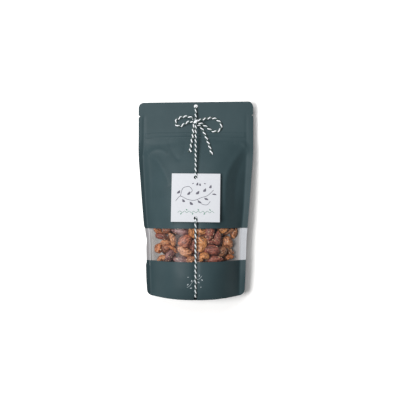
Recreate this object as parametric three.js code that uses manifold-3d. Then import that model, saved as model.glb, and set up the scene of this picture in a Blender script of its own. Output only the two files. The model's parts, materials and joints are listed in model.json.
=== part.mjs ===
// A stand-up pouch of roasted mixed nuts with a clear window band, tied lengthways with
// two-colour twine that holds a square card and ends in a bow. The pouch lies on its back.
// Millimetres: +X to the right, +Y to the pouch's top edge, +Z out of its front. The origin
// is under the middle of the pouch. Along the pouch, s is the distance below the top edge.

import * as THREE from "three";
import { mergeVertices } from "three/addons/utils/BufferGeometryUtils.js";
import Module from "manifold-3d";

const wasm = await Module();
wasm.setup();

// ---- Driving dimensions -------------------------------------------------------------

// The pouch: 130 x 225 mm when flat and empty. Its sides curl in a little as it lies.
const POUCH_LENGTH = 220.4; // as it lies, drawn in a little by its filling
const TOP_HALF_WIDTH = 64.5;
const SEAL_THICKNESS = 1.6;
const CORNER_RADIUS = 6;
const BOTTOM_BOW = 3.2; // the bottom edge's middle below its ends
const BOTTOM_BOW_HALF = 46; // half of the width over which it bows
const TOP_SKEW = 0.012; // the top edge's rise to the right, for each mm of width
const NOTCH_STATION = 15.5; // tear notches
const NOTCH_HEIGHT = 2.4;
const NOTCH_DEPTH = 2;
const ZIP_TOP = 34.5; // press-to-close strip
const ZIP_BOTTOM = 40;
const ZIP_HEIGHT = 0.8;
const ZIP_RAMP = 0.4;
const ZIP_SHARE = 0.94; // how far it runs across, as a share of the inner width

// How the filled pouch stands off its seams, all as [s, value] pairs.
const HALF_WIDTHS = [[0, 64.5], [50, 64.5], [92, 61.8], [133, 58.5], [156, 56.5], [180, 55.9], [220.4, 54.7]];
const LEFT_SEALS = [[0, 6.8], [50, 6.2], [75, 4.8], [130, 4.2], [150, 4.6], [220.4, 4.8]];
const RIGHT_SEALS = [[0, 7.8], [60, 7.4], [95, 6.8], [130, 6.2], [150, 6.6], [220.4, 6]];
const SEAM_HEIGHTS = [
  [0, 10], [36, 10.4], [60, 12], [90, 14.5], [120, 16.5], [160, 17.5], [200, 17], [220.4, 16],
];
const FRONT_HEIGHTS = [
  [0, 10.9], [22, 11.2], [34, 12.2], [42, 15], [50, 18.6], [60, 22.8], [71, 27], [90, 32.2], [110, 37],
  [140, 41.6], [165, 43.6], [190, 44], [205, 42.6], [215, 40], [220.4, 37.5],
];
const BACK_HEIGHTS = [
  [0, 9.1], [36, 8.6], [50, 6.5], [62, 2.5], [72, -1], [90, -5], [150, -7], [195, -6], [208, -1.5],
  [214, 1], [220.4, 3.2],
];
const FRONT_FULLNESS = 2.4; // exponents of the front's arch across the pouch
const FRONT_EDGE = 0.85;
const BACK_FULLNESS = 4; // the back is flatter and turns up near the seams

// The window band, and the space behind it.
const WINDOW_TOP = 141.5;
const WINDOW_BOTTOM = 178.2;
const WINDOW_FILM = 0.5;
const WINDOW_LAP = 1; // how far the window lies on the front film
const CLEARANCE = 0.3; // between pieces that touch
const POCKET_FLOOR = 4.2; // film and folds under the nuts

// The gusset that opens under the pouch's bottom edge.
const FIN_THICKNESS = 1.4;
const GUSSET_SHARE = 0.96;
const GUSSET_DEPTH = 9;
const GUSSET_CREASE = 3; // how much deeper its middle fold lies
const GUSSET_CORNER_DEPTH = 6; // and how much deeper it is at the seams

// Twine and the holes that it runs through.
const TWINE_DIAMETER = 2.2;
const TWINE_X = -0.2;
const TWINE_SIDES = 8;
const TWINE_BEND = 1.6; // where it turns through a hole
const FURROW_DEPTH = 1.3; // pressed into the film by the taut twine
const FURROW_REACH = 3.5;
const FURROW_START = 74;
const FURROW_FULL = 88;
const GROOVE_TOP = 2.8; // the twine's furrow in the back, up from the flat
const HANG_HOLE_STATION = 4.8;
const HANG_HOLE_DIAMETER = 4.3;
const BOTTOM_HOLE_STATION = 218.2;
const BOTTOM_HOLE_DIAMETER = 3.4;
const KNOT_STATION = 22.4;
const KNOT_HEIGHT = 16.9;
const KNOT_SIZE = [2, 2.6, 2]; // half sizes

// The card: 53.6 x 55.2 mm, a little bent over the filling.
const CARD_HALF_WIDTH = 26.8;
const CARD_TOP = 80.9;
const CARD_BOTTOM = 134.9;
const CARD_THICKNESS = 0.5;
const CARD_X = -0.1;
const CARD_TURN = 0.9; // degrees, clockwise
const CARD_LIFT = 1.6; // over the film, on the twine behind it
const CARD_BEND_ACROSS = 1.2;
const CARD_BEND_ALONG = 1;
const CARD_HOLE_DIAMETER = 4.4;
const CARD_HOLE_INSET = 4.2;

// Nuts: half sizes of an almond, a cashew and a hazelnut.
const ALMOND = [9.4, 6.6, 4.6];
const CASHEW = [8.6, 3.9, 4.2];
const HAZELNUT = [6.2, 6.2, 6.4];
const CASHEW_BEND = 9; // radius of its curl
const NUT_COLUMNS = 9;
const NUT_ROWS = 4;
const NUT_REACH = 0.84; // how far out they lie, as a share of the inner width
const NUT_SCATTER = 1.6;
const NUT_SEED = 20;
const HEAP_CORE_DEPTH = 7; // the heap's core below the film

const TWINE_RADIUS = TWINE_DIAMETER / 2;
const TWINE_LIE = TWINE_RADIUS + CLEARANCE; // centre of a twine that lies on a surface
const HALF_LENGTH = POUCH_LENGTH / 2;

// ---- The filled pouch's form ----------------------------------------------------------

// A smooth curve through [station, value] pairs that doesn't overshoot them.
function through(pairs) {
  const slopes = pairs.slice(1).map(([s, v], i) => (v - pairs[i][1]) / (s - pairs[i][0]));
  const tangents = pairs.map((_, i) => {
    const before = slopes[i - 1] ?? slopes[i];
    const after = slopes[i] ?? slopes[i - 1];
    return before * after > 0 ? (2 * before * after) / (before + after) : 0;
  });
  return (station) => {
    let i = 0;
    while (i < pairs.length - 2 && station > pairs[i + 1][0]) i += 1;
    const [start, from] = pairs[i];
    const [end, to] = pairs[i + 1];
    const span = end - start;
    const t = THREE.MathUtils.clamp((station - start) / span, 0, 1);
    const ease = t * t * (3 - 2 * t);
    const leave = tangents[i] * span * t * (1 - t) ** 2;
    const arrive = tangents[i + 1] * span * t * t * (t - 1);
    return from + (to - from) * ease + leave + arrive;
  };
}

const halfWidth = through(HALF_WIDTHS);
const seamHeight = through(SEAM_HEIGHTS);
const frontMiddle = through(FRONT_HEIGHTS);
const backMiddle = through(BACK_HEIGHTS);

const leftSeal = through(LEFT_SEALS);
const rightSeal = through(RIGHT_SEALS);

// From the middle to the seal on the side of x.
const innerWidth = (x, s) => halfWidth(s) - (x < 0 ? leftSeal(s) : rightSeal(s));
const shareAcross = (x, s) => Math.min(1, Math.abs(x) / innerWidth(x, s));
const bottomEdge = (x) => POUCH_LENGTH - BOTTOM_BOW * (x / BOTTOM_BOW_HALF) ** 2;

// The shallow furrow that the taut twine presses into the front.
function furrow(x, s) {
  const fade = THREE.MathUtils.smoothstep(s, FURROW_START, FURROW_FULL);
  return FURROW_DEPTH * fade * Math.exp(-(((x - TWINE_X) / FURROW_REACH) ** 2));
}

function zipRidge(x, s) {
  const inBand = s > ZIP_TOP - ZIP_RAMP / 2 && s < ZIP_BOTTOM + ZIP_RAMP / 2;
  return inBand && shareAcross(x, s) <= ZIP_SHARE ? ZIP_HEIGHT : 0;
}

function frontHeight(x, s) {
  const seal = seamHeight(s) + SEAL_THICKNESS / 2;
  const arch = (1 - shareAcross(x, s) ** FRONT_FULLNESS) ** FRONT_EDGE;
  return seal + (frontMiddle(s) - seal) * arch - furrow(x, s) + zipRidge(x, s);
}

function backHeight(x, s) {
  const seal = seamHeight(s) - SEAL_THICKNESS / 2;
  const arch = 1 - shareAcross(x, s) ** BACK_FULLNESS;
  return Math.max(0, seal - (seal - backMiddle(s)) * arch);
}

const pocketFloor = (x, s) => backHeight(x, s) + POCKET_FLOOR;

// ---- Solids ---------------------------------------------------------------------------

const place = (x, s, z) => new THREE.Vector3(x, HALF_LENGTH - s, z);

function solidFrom(geometry) {
  const bare = geometry.clone();
  bare.deleteAttribute("normal");
  bare.deleteAttribute("uv");
  const merged = mergeVertices(bare, 1e-4);
  return new wasm.Manifold(
    new wasm.Mesh({
      numProp: 3,
      vertProperties: merged.attributes.position.array,
      triVerts: new Uint32Array(merged.index.array),
    }),
  );
}

function geometryFrom(solid) {
  const { vertProperties, triVerts } = solid.getMesh();
  const geometry = new THREE.BufferGeometry();
  geometry.setAttribute("position", new THREE.BufferAttribute(vertProperties, 3));
  geometry.setIndex(new THREE.BufferAttribute(triVerts, 1));
  return geometry;
}

// A closed slab between two faces, each a grid of points: columns run to +X, rows upwards
// as the upper face is seen from outside.
function slab(columns, rows, lower, upper) {
  const points = [];
  for (const face of [lower, upper])
    for (let j = 0; j < rows; j += 1)
      for (let i = 0; i < columns; i += 1) points.push(...face(i, j).toArray());
  const at = (face, i, j) => (face * rows + j) * columns + i;
  const triangles = [];
  const quad = (a, b, c, d) => triangles.push(a, b, c, a, c, d);
  for (let j = 0; j < rows - 1; j += 1)
    for (let i = 0; i < columns - 1; i += 1) {
      quad(at(1, i, j), at(1, i + 1, j), at(1, i + 1, j + 1), at(1, i, j + 1));
      quad(at(0, i, j), at(0, i, j + 1), at(0, i + 1, j + 1), at(0, i + 1, j));
    }
  for (let i = 0; i < columns - 1; i += 1) {
    quad(at(0, i, 0), at(0, i + 1, 0), at(1, i + 1, 0), at(1, i, 0));
    quad(at(0, i + 1, rows - 1), at(0, i, rows - 1), at(1, i, rows - 1), at(1, i + 1, rows - 1));
  }
  for (let j = 0; j < rows - 1; j += 1) {
    quad(at(0, 0, j + 1), at(0, 0, j), at(1, 0, j), at(1, 0, j + 1));
    quad(at(0, columns - 1, j), at(0, columns - 1, j + 1), at(1, columns - 1, j + 1), at(1, columns - 1, j));
  }
  const geometry = new THREE.BufferGeometry();
  geometry.setAttribute("position", new THREE.Float32BufferAttribute(points, 3));
  geometry.setIndex(triangles);
  return solidFrom(geometry);
}

// Stations from one value to another, both kept, about a step apart.
function stations(from, to, step) {
  const count = Math.round(Math.abs(to - from) / step);
  return Array.from({ length: count + 1 }, (_, i) => from + ((to - from) * i) / count);
}

function peg(diameter, x, s, low, high, sides) {
  const radius = diameter / 2;
  const geometry = new THREE.CylinderGeometry(radius, radius, high - low, sides);
  geometry.rotateX(Math.PI / 2);
  const { y, z } = place(x, s, (low + high) / 2);
  geometry.translate(x, y, z);
  return solidFrom(geometry);
}

// ---- Pouch ----------------------------------------------------------------------------

const SKY = 70; // above everything
const GROUND = -5; // below everything
const OUTLINE_SPARE = 1; // trimmed off by the outline
const SIDE_SHARES = [0.24, 0.46, 0.64, 0.78, 0.88, 0.94, 1];
const FURROW_OFFSETS = [-4, 0, 4];

// Columns of the film from seam to seam: closer at the flanks and beside the twine.
function filmColumns(s, reach) {
  const right = SIDE_SHARES.map((share) => share * innerWidth(1, s));
  const left = SIDE_SHARES.map((share) => -share * innerWidth(-1, s)).reverse();
  const middle = FURROW_OFFSETS.map((offset) => TWINE_X + offset);
  return [-reach, ...left, ...middle, ...right, reach];
}

const FILM_COLUMNS = filmColumns(0, TOP_HALF_WIDTH).length;

function filmSlab(rows, spare, lower, upper) {
  const fromBelow = [...rows].reverse();
  const point = (height) => (i, j) => {
    const s = fromBelow[j];
    const x = filmColumns(s, halfWidth(s) + spare)[i];
    return place(x, s, height(x, s));
  };
  return slab(FILM_COLUMNS, rows.length, point(lower), point(upper));
}

function outlinePoints() {
  const corner = (cx, edge, fromDegrees, way) =>
    stations(fromDegrees, 90 - fromDegrees, 15).map((degrees) => {
      const angle = THREE.MathUtils.degToRad(degrees);
      const x = cx + CORNER_RADIUS * Math.cos(angle);
      return [x, edge(x) - way * CORNER_RADIUS * (1 - Math.sin(angle))];
    });
  const side = (from, to) => stations(from, to, 10).map((s) => [halfWidth(s), s]);
  const notch = [
    [TOP_HALF_WIDTH, NOTCH_STATION - NOTCH_HEIGHT / 2],
    [TOP_HALF_WIDTH - NOTCH_DEPTH, NOTCH_STATION],
    [TOP_HALF_WIDTH, NOTCH_STATION + NOTCH_HEIGHT / 2],
  ];
  const cornerX = halfWidth(POUCH_LENGTH) - CORNER_RADIUS;
  const cornerEnd = bottomEdge(cornerX) - 2 * CORNER_RADIUS;
  const bottom = stations(cornerX, 0, 7).map((x) => [x, bottomEdge(x)]);
  return [
    ...corner(TOP_HALF_WIDTH - CORNER_RADIUS, () => 0, 90, -1),
    ...notch,
    ...side(NOTCH_STATION + 2 * NOTCH_HEIGHT, cornerEnd),
    ...corner(cornerX, bottomEdge, 0, 1),
    ...bottom.slice(1),
  ];
}

function outlineSolid() {
  const right = outlinePoints();
  const left = right.slice(0, -1).reverse().map(([x, s]) => [-x, s]);
  const clockwise = [...right, ...left].map(([x, s]) => new THREE.Vector2(x, HALF_LENGTH - s));
  const shape = new THREE.Shape(clockwise.reverse());
  const geometry = new THREE.ExtrudeGeometry(shape, { depth: SKY - GROUND, bevelEnabled: false });
  geometry.translate(0, 0, GROUND);
  return solidFrom(geometry);
}

function pouchRows() {
  const zip = [ZIP_TOP - ZIP_RAMP, ZIP_TOP, ZIP_BOTTOM, ZIP_BOTTOM + ZIP_RAMP];
  return [
    -OUTLINE_SPARE,
    ...stations(8, 26, 9),
    ...zip,
    ...stations(46, 102, 7),
    ...stations(111, 201, 10),
    ...stations(206, POUCH_LENGTH, 5),
    POUCH_LENGTH + OUTLINE_SPARE,
  ];
}

// The open mouth between the front fin, the back fin and the folded gusset film.
function gussetHollow() {
  const columns = stations(-GUSSET_SHARE, GUSSET_SHARE, GUSSET_SHARE / 8);
  const layers = stations(0, 1, 0.25);
  const point = (reachIn) => (i, j) => {
    const x = columns[i] * innerWidth(columns[i], POUCH_LENGTH - GUSSET_DEPTH);
    const v = layers[j];
    const fold = GUSSET_CREASE * (1 - Math.abs(2 * v - 1));
    const depth = GUSSET_DEPTH + fold + GUSSET_CORNER_DEPTH * columns[i] ** 2;
    const s = bottomEdge(x) + (reachIn ? -depth : 2 * OUTLINE_SPARE);
    const low = backHeight(x, s) + FIN_THICKNESS;
    const high = frontHeight(x, s) - FIN_THICKNESS;
    return place(x, s, THREE.MathUtils.lerp(low, high, v));
  };
  return slab(columns.length, layers.length, point(true), point(false));
}

const WINDOW_ROWS = stations(WINDOW_TOP, WINDOW_BOTTOM, 6);

// The space behind the window, from above its floor up to a height function. The inset
// keeps what fills the space clear of its walls.
function windowSpace(inset, height) {
  const ends = [WINDOW_TOP + WINDOW_LAP + inset, WINDOW_BOTTOM - WINDOW_LAP - inset];
  const rows = [ends[0], ...WINDOW_ROWS.slice(1, -1), ends[1]].reverse();
  const columnsAt = (s) => {
    const inside = filmColumns(s, 0).slice(2, -2);
    return [inside[0] + inset, ...inside.slice(1, -1), inside.at(-1) - inset];
  };
  const point = (z) => (i, j) => {
    const x = columnsAt(rows[j])[i];
    return place(x, rows[j], z(x, rows[j]));
  };
  const floor = (x, s) => pocketFloor(x, s) + inset;
  return slab(FILM_COLUMNS - 4, rows.length, point(floor), point(height));
}

function windowRecess() {
  const rows = [WINDOW_TOP - CLEARANCE, ...WINDOW_ROWS, WINDOW_BOTTOM + CLEARANCE];
  const floor = (x, s) => frontHeight(x, s) - WINDOW_FILM - CLEARANCE;
  return filmSlab(rows, OUTLINE_SPARE, floor, () => SKY);
}

function backGroove() {
  const width = 2 * TWINE_LIE;
  const geometry = new THREE.BoxGeometry(width, POUCH_LENGTH, GROOVE_TOP - GROUND);
  geometry.translate(TWINE_X, -HALF_LENGTH / 4, (GROOVE_TOP + GROUND) / 2);
  return solidFrom(geometry);
}

function pouch() {
  return filmSlab(pouchRows(), OUTLINE_SPARE, backHeight, frontHeight)
    .intersect(outlineSolid())
    .subtract(gussetHollow())
    .subtract(windowRecess())
    .subtract(windowSpace(0, () => SKY))
    .subtract(backGroove())
    .subtract(peg(HANG_HOLE_DIAMETER, TWINE_X, HANG_HOLE_STATION, GROUND, SKY, 20))
    .subtract(peg(BOTTOM_HOLE_DIAMETER, TWINE_X, BOTTOM_HOLE_STATION, GROUND, SKY, 16));
}

function windowFilm() {
  const underside = (x, s) => frontHeight(x, s) - WINDOW_FILM;
  return filmSlab(WINDOW_ROWS, 0, underside, frontHeight);
}

// ---- Nuts -----------------------------------------------------------------------------

// A seeded random source, so that the heap is the same each time.
function randomFrom(seed) {
  let state = seed;
  return () => {
    state = (state * 1664525 + 1013904223) % 4294967296;
    return state / 4294967296;
  };
}

function eachVertex(geometry, move) {
  const positions = geometry.attributes.position;
  const point = new THREE.Vector3();
  for (let i = 0; i < positions.count; i += 1) {
    move(point.fromBufferAttribute(positions, i));
    positions.setXYZ(i, point.x, point.y, point.z);
  }
  return geometry;
}

// Round, with its poles along X.
function roundForm(sides, rings) {
  return new THREE.SphereGeometry(1, sides, rings).rotateZ(Math.PI / 2);
}

function almondForm() {
  return eachVertex(roundForm(8, 6), (p) => {
    const taper = 1 - 0.28 * (p.x + 1) * 0.5;
    p.set(p.x * ALMOND[0], p.y * ALMOND[1] * taper, p.z * ALMOND[2] * taper);
  });
}

function cashewForm() {
  return eachVertex(roundForm(7, 8), (p) => {
    const angle = (p.x * CASHEW[0]) / CASHEW_BEND;
    const radius = CASHEW_BEND + p.y * CASHEW[1];
    p.set(radius * Math.sin(angle), radius * Math.cos(angle) - CASHEW_BEND, p.z * CASHEW[2]);
  });
}

function hazelnutForm() {
  return roundForm(8, 6).scale(...HAZELNUT);
}

// Nuts lie side by side in staggered rows, just under the film, each turned its own way.
function heapNuts() {
  const random = randomFrom(NUT_SEED);
  const spread = (range) => (random() - 0.5) * 2 * range;
  const forms = [almondForm, cashewForm, hazelnutForm, cashewForm];
  const depths = [ALMOND[2], CASHEW[2], HAZELNUT[2], CASHEW[2]];
  const rows = stations(WINDOW_TOP, WINDOW_BOTTOM, (WINDOW_BOTTOM - WINDOW_TOP) / (NUT_ROWS - 1));
  const nuts = [];
  rows.forEach((row, j) => {
    const shift = (j % 2) * 0.5 - 0.25;
    for (let i = 0; i < NUT_COLUMNS; i += 1) {
      const share = (2 * (i + 0.5 + shift)) / NUT_COLUMNS - 1;
      const kind = Math.floor(random() * forms.length);
      const s = row + spread(NUT_SCATTER);
      const x = share * innerWidth(share, s) * NUT_REACH + spread(NUT_SCATTER);
      const z = frontHeight(x, s) - WINDOW_FILM - 2 * CLEARANCE - depths[kind];
      const nut = forms[kind]().rotateX(spread(0.35)).rotateZ(spread(Math.PI));
      const { y } = place(x, s, z);
      nuts.push(solidFrom(nut.translate(x, y, z)));
    }
  });
  return nuts;
}

function nutHeap() {
  const underFilm = (x, s) => frontHeight(x, s) - WINDOW_FILM - CLEARANCE;
  const coreTop = (x, s) => Math.max(frontHeight(x, s) - HEAP_CORE_DEPTH, pocketFloor(x, s) + 1);
  const space = windowSpace(CLEARANCE, underFilm);
  const core = windowSpace(CLEARANCE, coreTop);
  return heapNuts().reduce((heap, nut) => heap.add(nut.intersect(space)), core);
}

// ---- Card -----------------------------------------------------------------------------

const CARD_MIDDLE = (CARD_TOP + CARD_BOTTOM) / 2;
const CARD_HALF_HEIGHT = (CARD_BOTTOM - CARD_TOP) / 2;
const CARD_SLOPE = (frontMiddle(CARD_BOTTOM) - frontMiddle(CARD_TOP)) / (CARD_BOTTOM - CARD_TOP);

// The card's back, over the pouch.
function cardBack(x, s) {
  const along = s - CARD_MIDDLE;
  const droopAcross = CARD_BEND_ACROSS * ((x - CARD_X) / CARD_HALF_WIDTH) ** 2;
  const droopAlong = CARD_BEND_ALONG * (along / CARD_HALF_HEIGHT) ** 2;
  return frontMiddle(CARD_MIDDLE) + CARD_LIFT + CARD_SLOPE * along - droopAcross - droopAlong;
}

const cardFront = (x, s) => cardBack(x, s) + CARD_THICKNESS;

function card() {
  const cells = 8;
  const turn = THREE.MathUtils.degToRad(CARD_TURN);
  const point = (height) => (i, j) => {
    const across = ((2 * i) / cells - 1) * CARD_HALF_WIDTH;
    const down = (1 - (2 * j) / cells) * CARD_HALF_HEIGHT;
    const x = CARD_X + across * Math.cos(turn) - down * Math.sin(turn);
    const s = CARD_MIDDLE + down * Math.cos(turn) + across * Math.sin(turn);
    return place(x, s, height(x, s));
  };
  const hole = (s) => peg(CARD_HOLE_DIAMETER, TWINE_X, s, GROUND, SKY, 20);
  return slab(cells + 1, cells + 1, point(cardBack), point(cardFront))
    .subtract(hole(CARD_TOP + CARD_HOLE_INSET))
    .subtract(hole(CARD_BOTTOM - CARD_HOLE_INSET));
}

// ---- Twine ----------------------------------------------------------------------------

// Its steps are even between the route's own points, so close points make a fine bend.
class Route extends THREE.CatmullRomCurve3 {
  getUtoTmapping(u) {
    return u;
  }
}

function twineTube(points, stepsEach) {
  const corners = Array.from({ length: TWINE_SIDES }, (_, i) => {
    const angle = (2 * Math.PI * i) / TWINE_SIDES;
    return new THREE.Vector2(TWINE_RADIUS * Math.cos(angle), TWINE_RADIUS * Math.sin(angle));
  });
  const steps = (points.length - 1) * stepsEach;
  const extrudePath = new Route(points, false, "centripetal");
  const geometry = new THREE.ExtrudeGeometry(new THREE.Shape(corners), { steps, extrudePath });
  return solidFrom(geometry);
}

// A quarter turn in the plane of the twine, about a centre at station s and height z.
function quarterTurn(s, z, fromDegrees, toDegrees) {
  return [0, 0.5, 1].map((t) => {
    const angle = THREE.MathUtils.degToRad(THREE.MathUtils.lerp(fromDegrees, toDegrees, t));
    return [s + TWINE_BEND * Math.cos(angle), z + TWINE_BEND * Math.sin(angle)];
  });
}

// From the knot up and through the hang hole, down the back, up through the bottom fins,
// over the window, behind the card between its two holes, and back to the knot.
function wrapRoute() {
  const onFilm = (s) => [s, frontHeight(TWINE_X, s) + TWINE_LIE];
  const overCard = (s) => [s, cardFront(TWINE_X, s) + TWINE_LIE + CLEARANCE];
  const underCard = (s) => [s, cardBack(TWINE_X, s) - TWINE_LIE];
  const inHole = (s) => [s, cardBack(TWINE_X, s) + CARD_THICKNESS / 2];
  const topHole = CARD_TOP + CARD_HOLE_INSET;
  const lowHole = CARD_BOTTOM - CARD_HOLE_INSET;
  const dive = 1.9; // from over the card to its hole, along the twine
  const bendRise = 0.2; // from a hole's edge to the middle of the turn over it
  const hangTurn = HANG_HOLE_STATION + HANG_HOLE_DIAMETER / 2 + 0.1;
  const flapTop = frontHeight(TWINE_X, hangTurn) + bendRise;
  const flapBack = backHeight(TWINE_X, hangTurn) - bendRise;
  const finTurn = BOTTOM_HOLE_STATION - TWINE_BEND;
  const finTop = frontHeight(TWINE_X, finTurn) + bendRise;
  const pairs = [
    [KNOT_STATION, KNOT_HEIGHT],
    [14, 14.8],
    ...quarterTurn(hangTurn, flapTop, 90, 180),
    ...quarterTurn(hangTurn, flapBack, 180, 270),
    [14, 6.7],
    [40, 4.2],
    [60, TWINE_LIE],
    [72, TWINE_LIE],
    [205, TWINE_LIE],
    [212, TWINE_LIE],
    ...quarterTurn(finTurn, TWINE_LIE + TWINE_BEND, 270, 360),
    [BOTTOM_HOLE_STATION, finTop / 2],
    ...quarterTurn(finTurn, finTop, 0, 90),
    onFilm(211),
    onFilm(204),
    onFilm(196),
    onFilm(186),
    onFilm(177),
    [160, frontMiddle(168) + TWINE_RADIUS],
    [142, overCard(CARD_BOTTOM)[1] - 0.3],
    overCard(CARD_BOTTOM),
    overCard(lowHole + dive),
    inHole(lowHole),
    underCard(lowHole - dive),
    onFilm(lowHole - 3 * dive),
    onFilm(118),
    onFilm(108),
    onFilm(98),
    underCard(topHole + 2 * dive),
    underCard(topHole + dive),
    inHole(topHole),
    overCard(topHole - dive),
    overCard(CARD_TOP),
    [70, 30.2],
    [46, 23.6],
    [KNOT_STATION, KNOT_HEIGHT],
  ];
  return pairs.map(([s, z]) => place(TWINE_X, s, z));
}

function twineWrap() {
  const knot = new THREE.SphereGeometry(1, 10, 8).scale(...KNOT_SIZE);
  const { x, y, z } = place(TWINE_X, KNOT_STATION, KNOT_HEIGHT);
  return twineTube(wrapRoute(), 2).add(solidFrom(knot.translate(x, y, z)));
}

// Free ends of the bow, as [x, s, lift]: the lift is over lying on the film.
const BOW_LOOP_LEFT = [
  [-2.7, 22.9, 3.9], [-6.1, 22.2, 3.4], [-9.5, 22.9, 2.2], [-12.9, 24.7, 1], [-16.5, 26.6, 0.2],
  [-20.1, 26.8, 0], [-22.7, 24.3, 0], [-22.3, 20.8, 0], [-18.9, 18, 0.2], [-14.3, 16.4, 0.9],
  [-9.7, 16.4, 1.9], [-5.7, 17.4, 2.9], [-3.1, 19, 3.7],
];
const BOW_LOOP_RIGHT = [
  [2.2, 21, 5], [4.7, 20.6, 4.6], [7.9, 19.8, 3.4], [11.5, 19, 2], [14.9, 18.3, 0.8],
  [18.5, 18.2, 0.1], [22.1, 19.2, 0], [25.3, 21.4, 0], [27.8, 24.3, 0], [28.5, 27.8, 0],
  [27.2, 31.2, 0], [24.1, 33.2, 0], [20.3, 33.4, 0], [16.9, 31.9, 0.3], [13.6, 29.5, 1],
  [10.3, 27, 1.8], [7.3, 25, 2.6], [4.5, 24, 3.4], [2.3, 23.4, 3.6],
];
const TAIL_LEFT = [
  [-2.1, 25.6, 3.2], [-2.9, 28.6, 2.2], [-3.1, 32, 1], [-3.3, 36, 0.1], [-3.9, 40, 0.2],
  [-4.7, 44, 0], [-5.3, 48, 0], [-5.9, 52, 0], [-6.7, 56.2, 0],
];
const TAIL_RIGHT = [
  [1.5, 26, 2.6], [4.1, 27, 1.7], [6.2, 29.2, 0.9], [7.9, 32, 0.3], [9.7, 36, 0], [11.4, 40, 0.2],
  [13.1, 44.4, 0], [14.8, 49.5, 0], [16.3, 54.4, 0], [17.5, 59.2, 0],
];

function freeTwine(route) {
  const points = route.map(([x, s, lift]) => place(x, s, frontHeight(x, s) + TWINE_LIE + lift));
  return twineTube(points, 1);
}

// ---- The assembled pouch --------------------------------------------------------------

const finish = (color, roughness) => new THREE.MeshStandardMaterial({ color, roughness, metalness: 0 });

const film = finish(0x48585d, 0.6);
const twine = finish(0xdfe3ea, 0.9);
const clear = finish(0xe8eaec, 0.1);
clear.transparent = true;
clear.opacity = 0.35;

// The film lies a little askew, so the top edge climbs to the right.
function askew(geometry) {
  const centring = (TOP_SKEW * (TOP_HALF_WIDTH - CORNER_RADIUS)) / 2;
  return eachVertex(geometry, (p) => {
    p.y += (TOP_SKEW * p.x * (p.y + HALF_LENGTH)) / POUCH_LENGTH - centring;
  });
}

const group = new THREE.Group();

function addPiece(name, solid, material) {
  const mesh = new THREE.Mesh(askew(geometryFrom(solid)), material.clone());
  mesh.geometry.computeVertexNormals();
  mesh.name = name;
  group.add(mesh);
}

addPiece("pouch", pouch(), film);
addPiece("window", windowFilm(), clear);
addPiece("nuts", nutHeap(), finish(0xa0642e, 0.6));
addPiece("card", card(), finish(0xe6e8ec, 0.8));
addPiece("twine_wrap", twineWrap(), twine);
addPiece("bow_loop_left", freeTwine(BOW_LOOP_LEFT), twine);
addPiece("bow_loop_right", freeTwine(BOW_LOOP_RIGHT), twine);
addPiece("tail_left", freeTwine(TAIL_LEFT), twine);
addPiece("tail_right", freeTwine(TAIL_RIGHT), twine);

export default group;
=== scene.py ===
# %% [markdown]
# # A pouch of roasted nuts tied with two-colour twine
# A stand-up pouch lies on its back on a white table. A clear band across its lower half
# shows the nuts, a card with a small printed sprig hangs on its front, and twine runs round
# it lengthways and ends in a bow. The measured solids come in first as a fixed frame, and
# each cell then dresses one of them. Lengths are thought of in millimetres and stored in
# metres.

# %% Load the frame
import itertools
import json
import math

import bmesh
import bpy
import numpy as np
from mathutils import Euler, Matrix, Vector, noise

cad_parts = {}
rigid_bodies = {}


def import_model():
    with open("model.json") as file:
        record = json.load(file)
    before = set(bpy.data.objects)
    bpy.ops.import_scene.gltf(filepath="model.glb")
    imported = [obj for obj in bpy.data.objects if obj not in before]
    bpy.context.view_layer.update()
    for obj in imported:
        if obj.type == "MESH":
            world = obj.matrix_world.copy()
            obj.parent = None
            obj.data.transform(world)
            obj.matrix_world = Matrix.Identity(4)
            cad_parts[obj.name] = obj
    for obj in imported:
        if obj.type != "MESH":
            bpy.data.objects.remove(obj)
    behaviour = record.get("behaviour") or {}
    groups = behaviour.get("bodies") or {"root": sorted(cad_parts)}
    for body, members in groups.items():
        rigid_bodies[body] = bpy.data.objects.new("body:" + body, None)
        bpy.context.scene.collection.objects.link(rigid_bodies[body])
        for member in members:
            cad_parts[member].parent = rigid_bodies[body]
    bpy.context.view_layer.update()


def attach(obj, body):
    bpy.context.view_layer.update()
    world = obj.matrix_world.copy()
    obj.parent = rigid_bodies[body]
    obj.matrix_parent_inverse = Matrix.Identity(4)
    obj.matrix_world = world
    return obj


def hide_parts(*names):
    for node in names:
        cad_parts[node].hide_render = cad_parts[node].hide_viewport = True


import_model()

MM = 0.001

# %% [markdown]
# ## The form of the filled pouch
# A filled pouch is thin and flat at its closed top, swells over the shoulders and stays
# high down to its foot. Measuring a height every few centimetres along the middle and along
# the seams, and joining the heights with smooth curves, gives a form that everything else
# can be laid on: film, twine, card and nuts. The letter s is the distance below the top edge.

# %% Heights along the pouch, in millimetres
POUCH_LENGTH = 220.4
HALF_LENGTH = POUCH_LENGTH / 2
TOP_HALF_WIDTH = 64.5
SEAL_THICKNESS = 1.6
CORNER_RADIUS = 6
BOTTOM_BOW = 3.2
BOTTOM_BOW_HALF = 46
TOP_SKEW = 0.012
FRONT_FULLNESS = 3.1
FRONT_EDGE = 1.4
BACK_FULLNESS = 4


def through(pairs):
    """A smooth curve through [station, value] pairs that doesn't overshoot them."""
    stations, values = np.array(pairs, float).T
    spans = np.diff(stations)
    slopes = np.diff(values) / spans
    before = np.concatenate([slopes[:1], slopes])
    after = np.concatenate([slopes, slopes[-1:]])
    same_way = before * after > 0
    tangents = np.where(same_way, 2 * before * after / np.where(same_way, before + after, 1), 0)

    def curve(s):
        i = np.clip(np.searchsorted(stations, s) - 1, 0, len(spans) - 1)
        t = np.clip((s - stations[i]) / spans[i], 0, 1)
        ease = t * t * (3 - 2 * t)
        leave = tangents[i] * spans[i] * t * (1 - t) ** 2
        arrive = tangents[i + 1] * spans[i] * t * t * (t - 1)
        return values[i] + (values[i + 1] - values[i]) * ease + leave + arrive

    return curve


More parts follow.
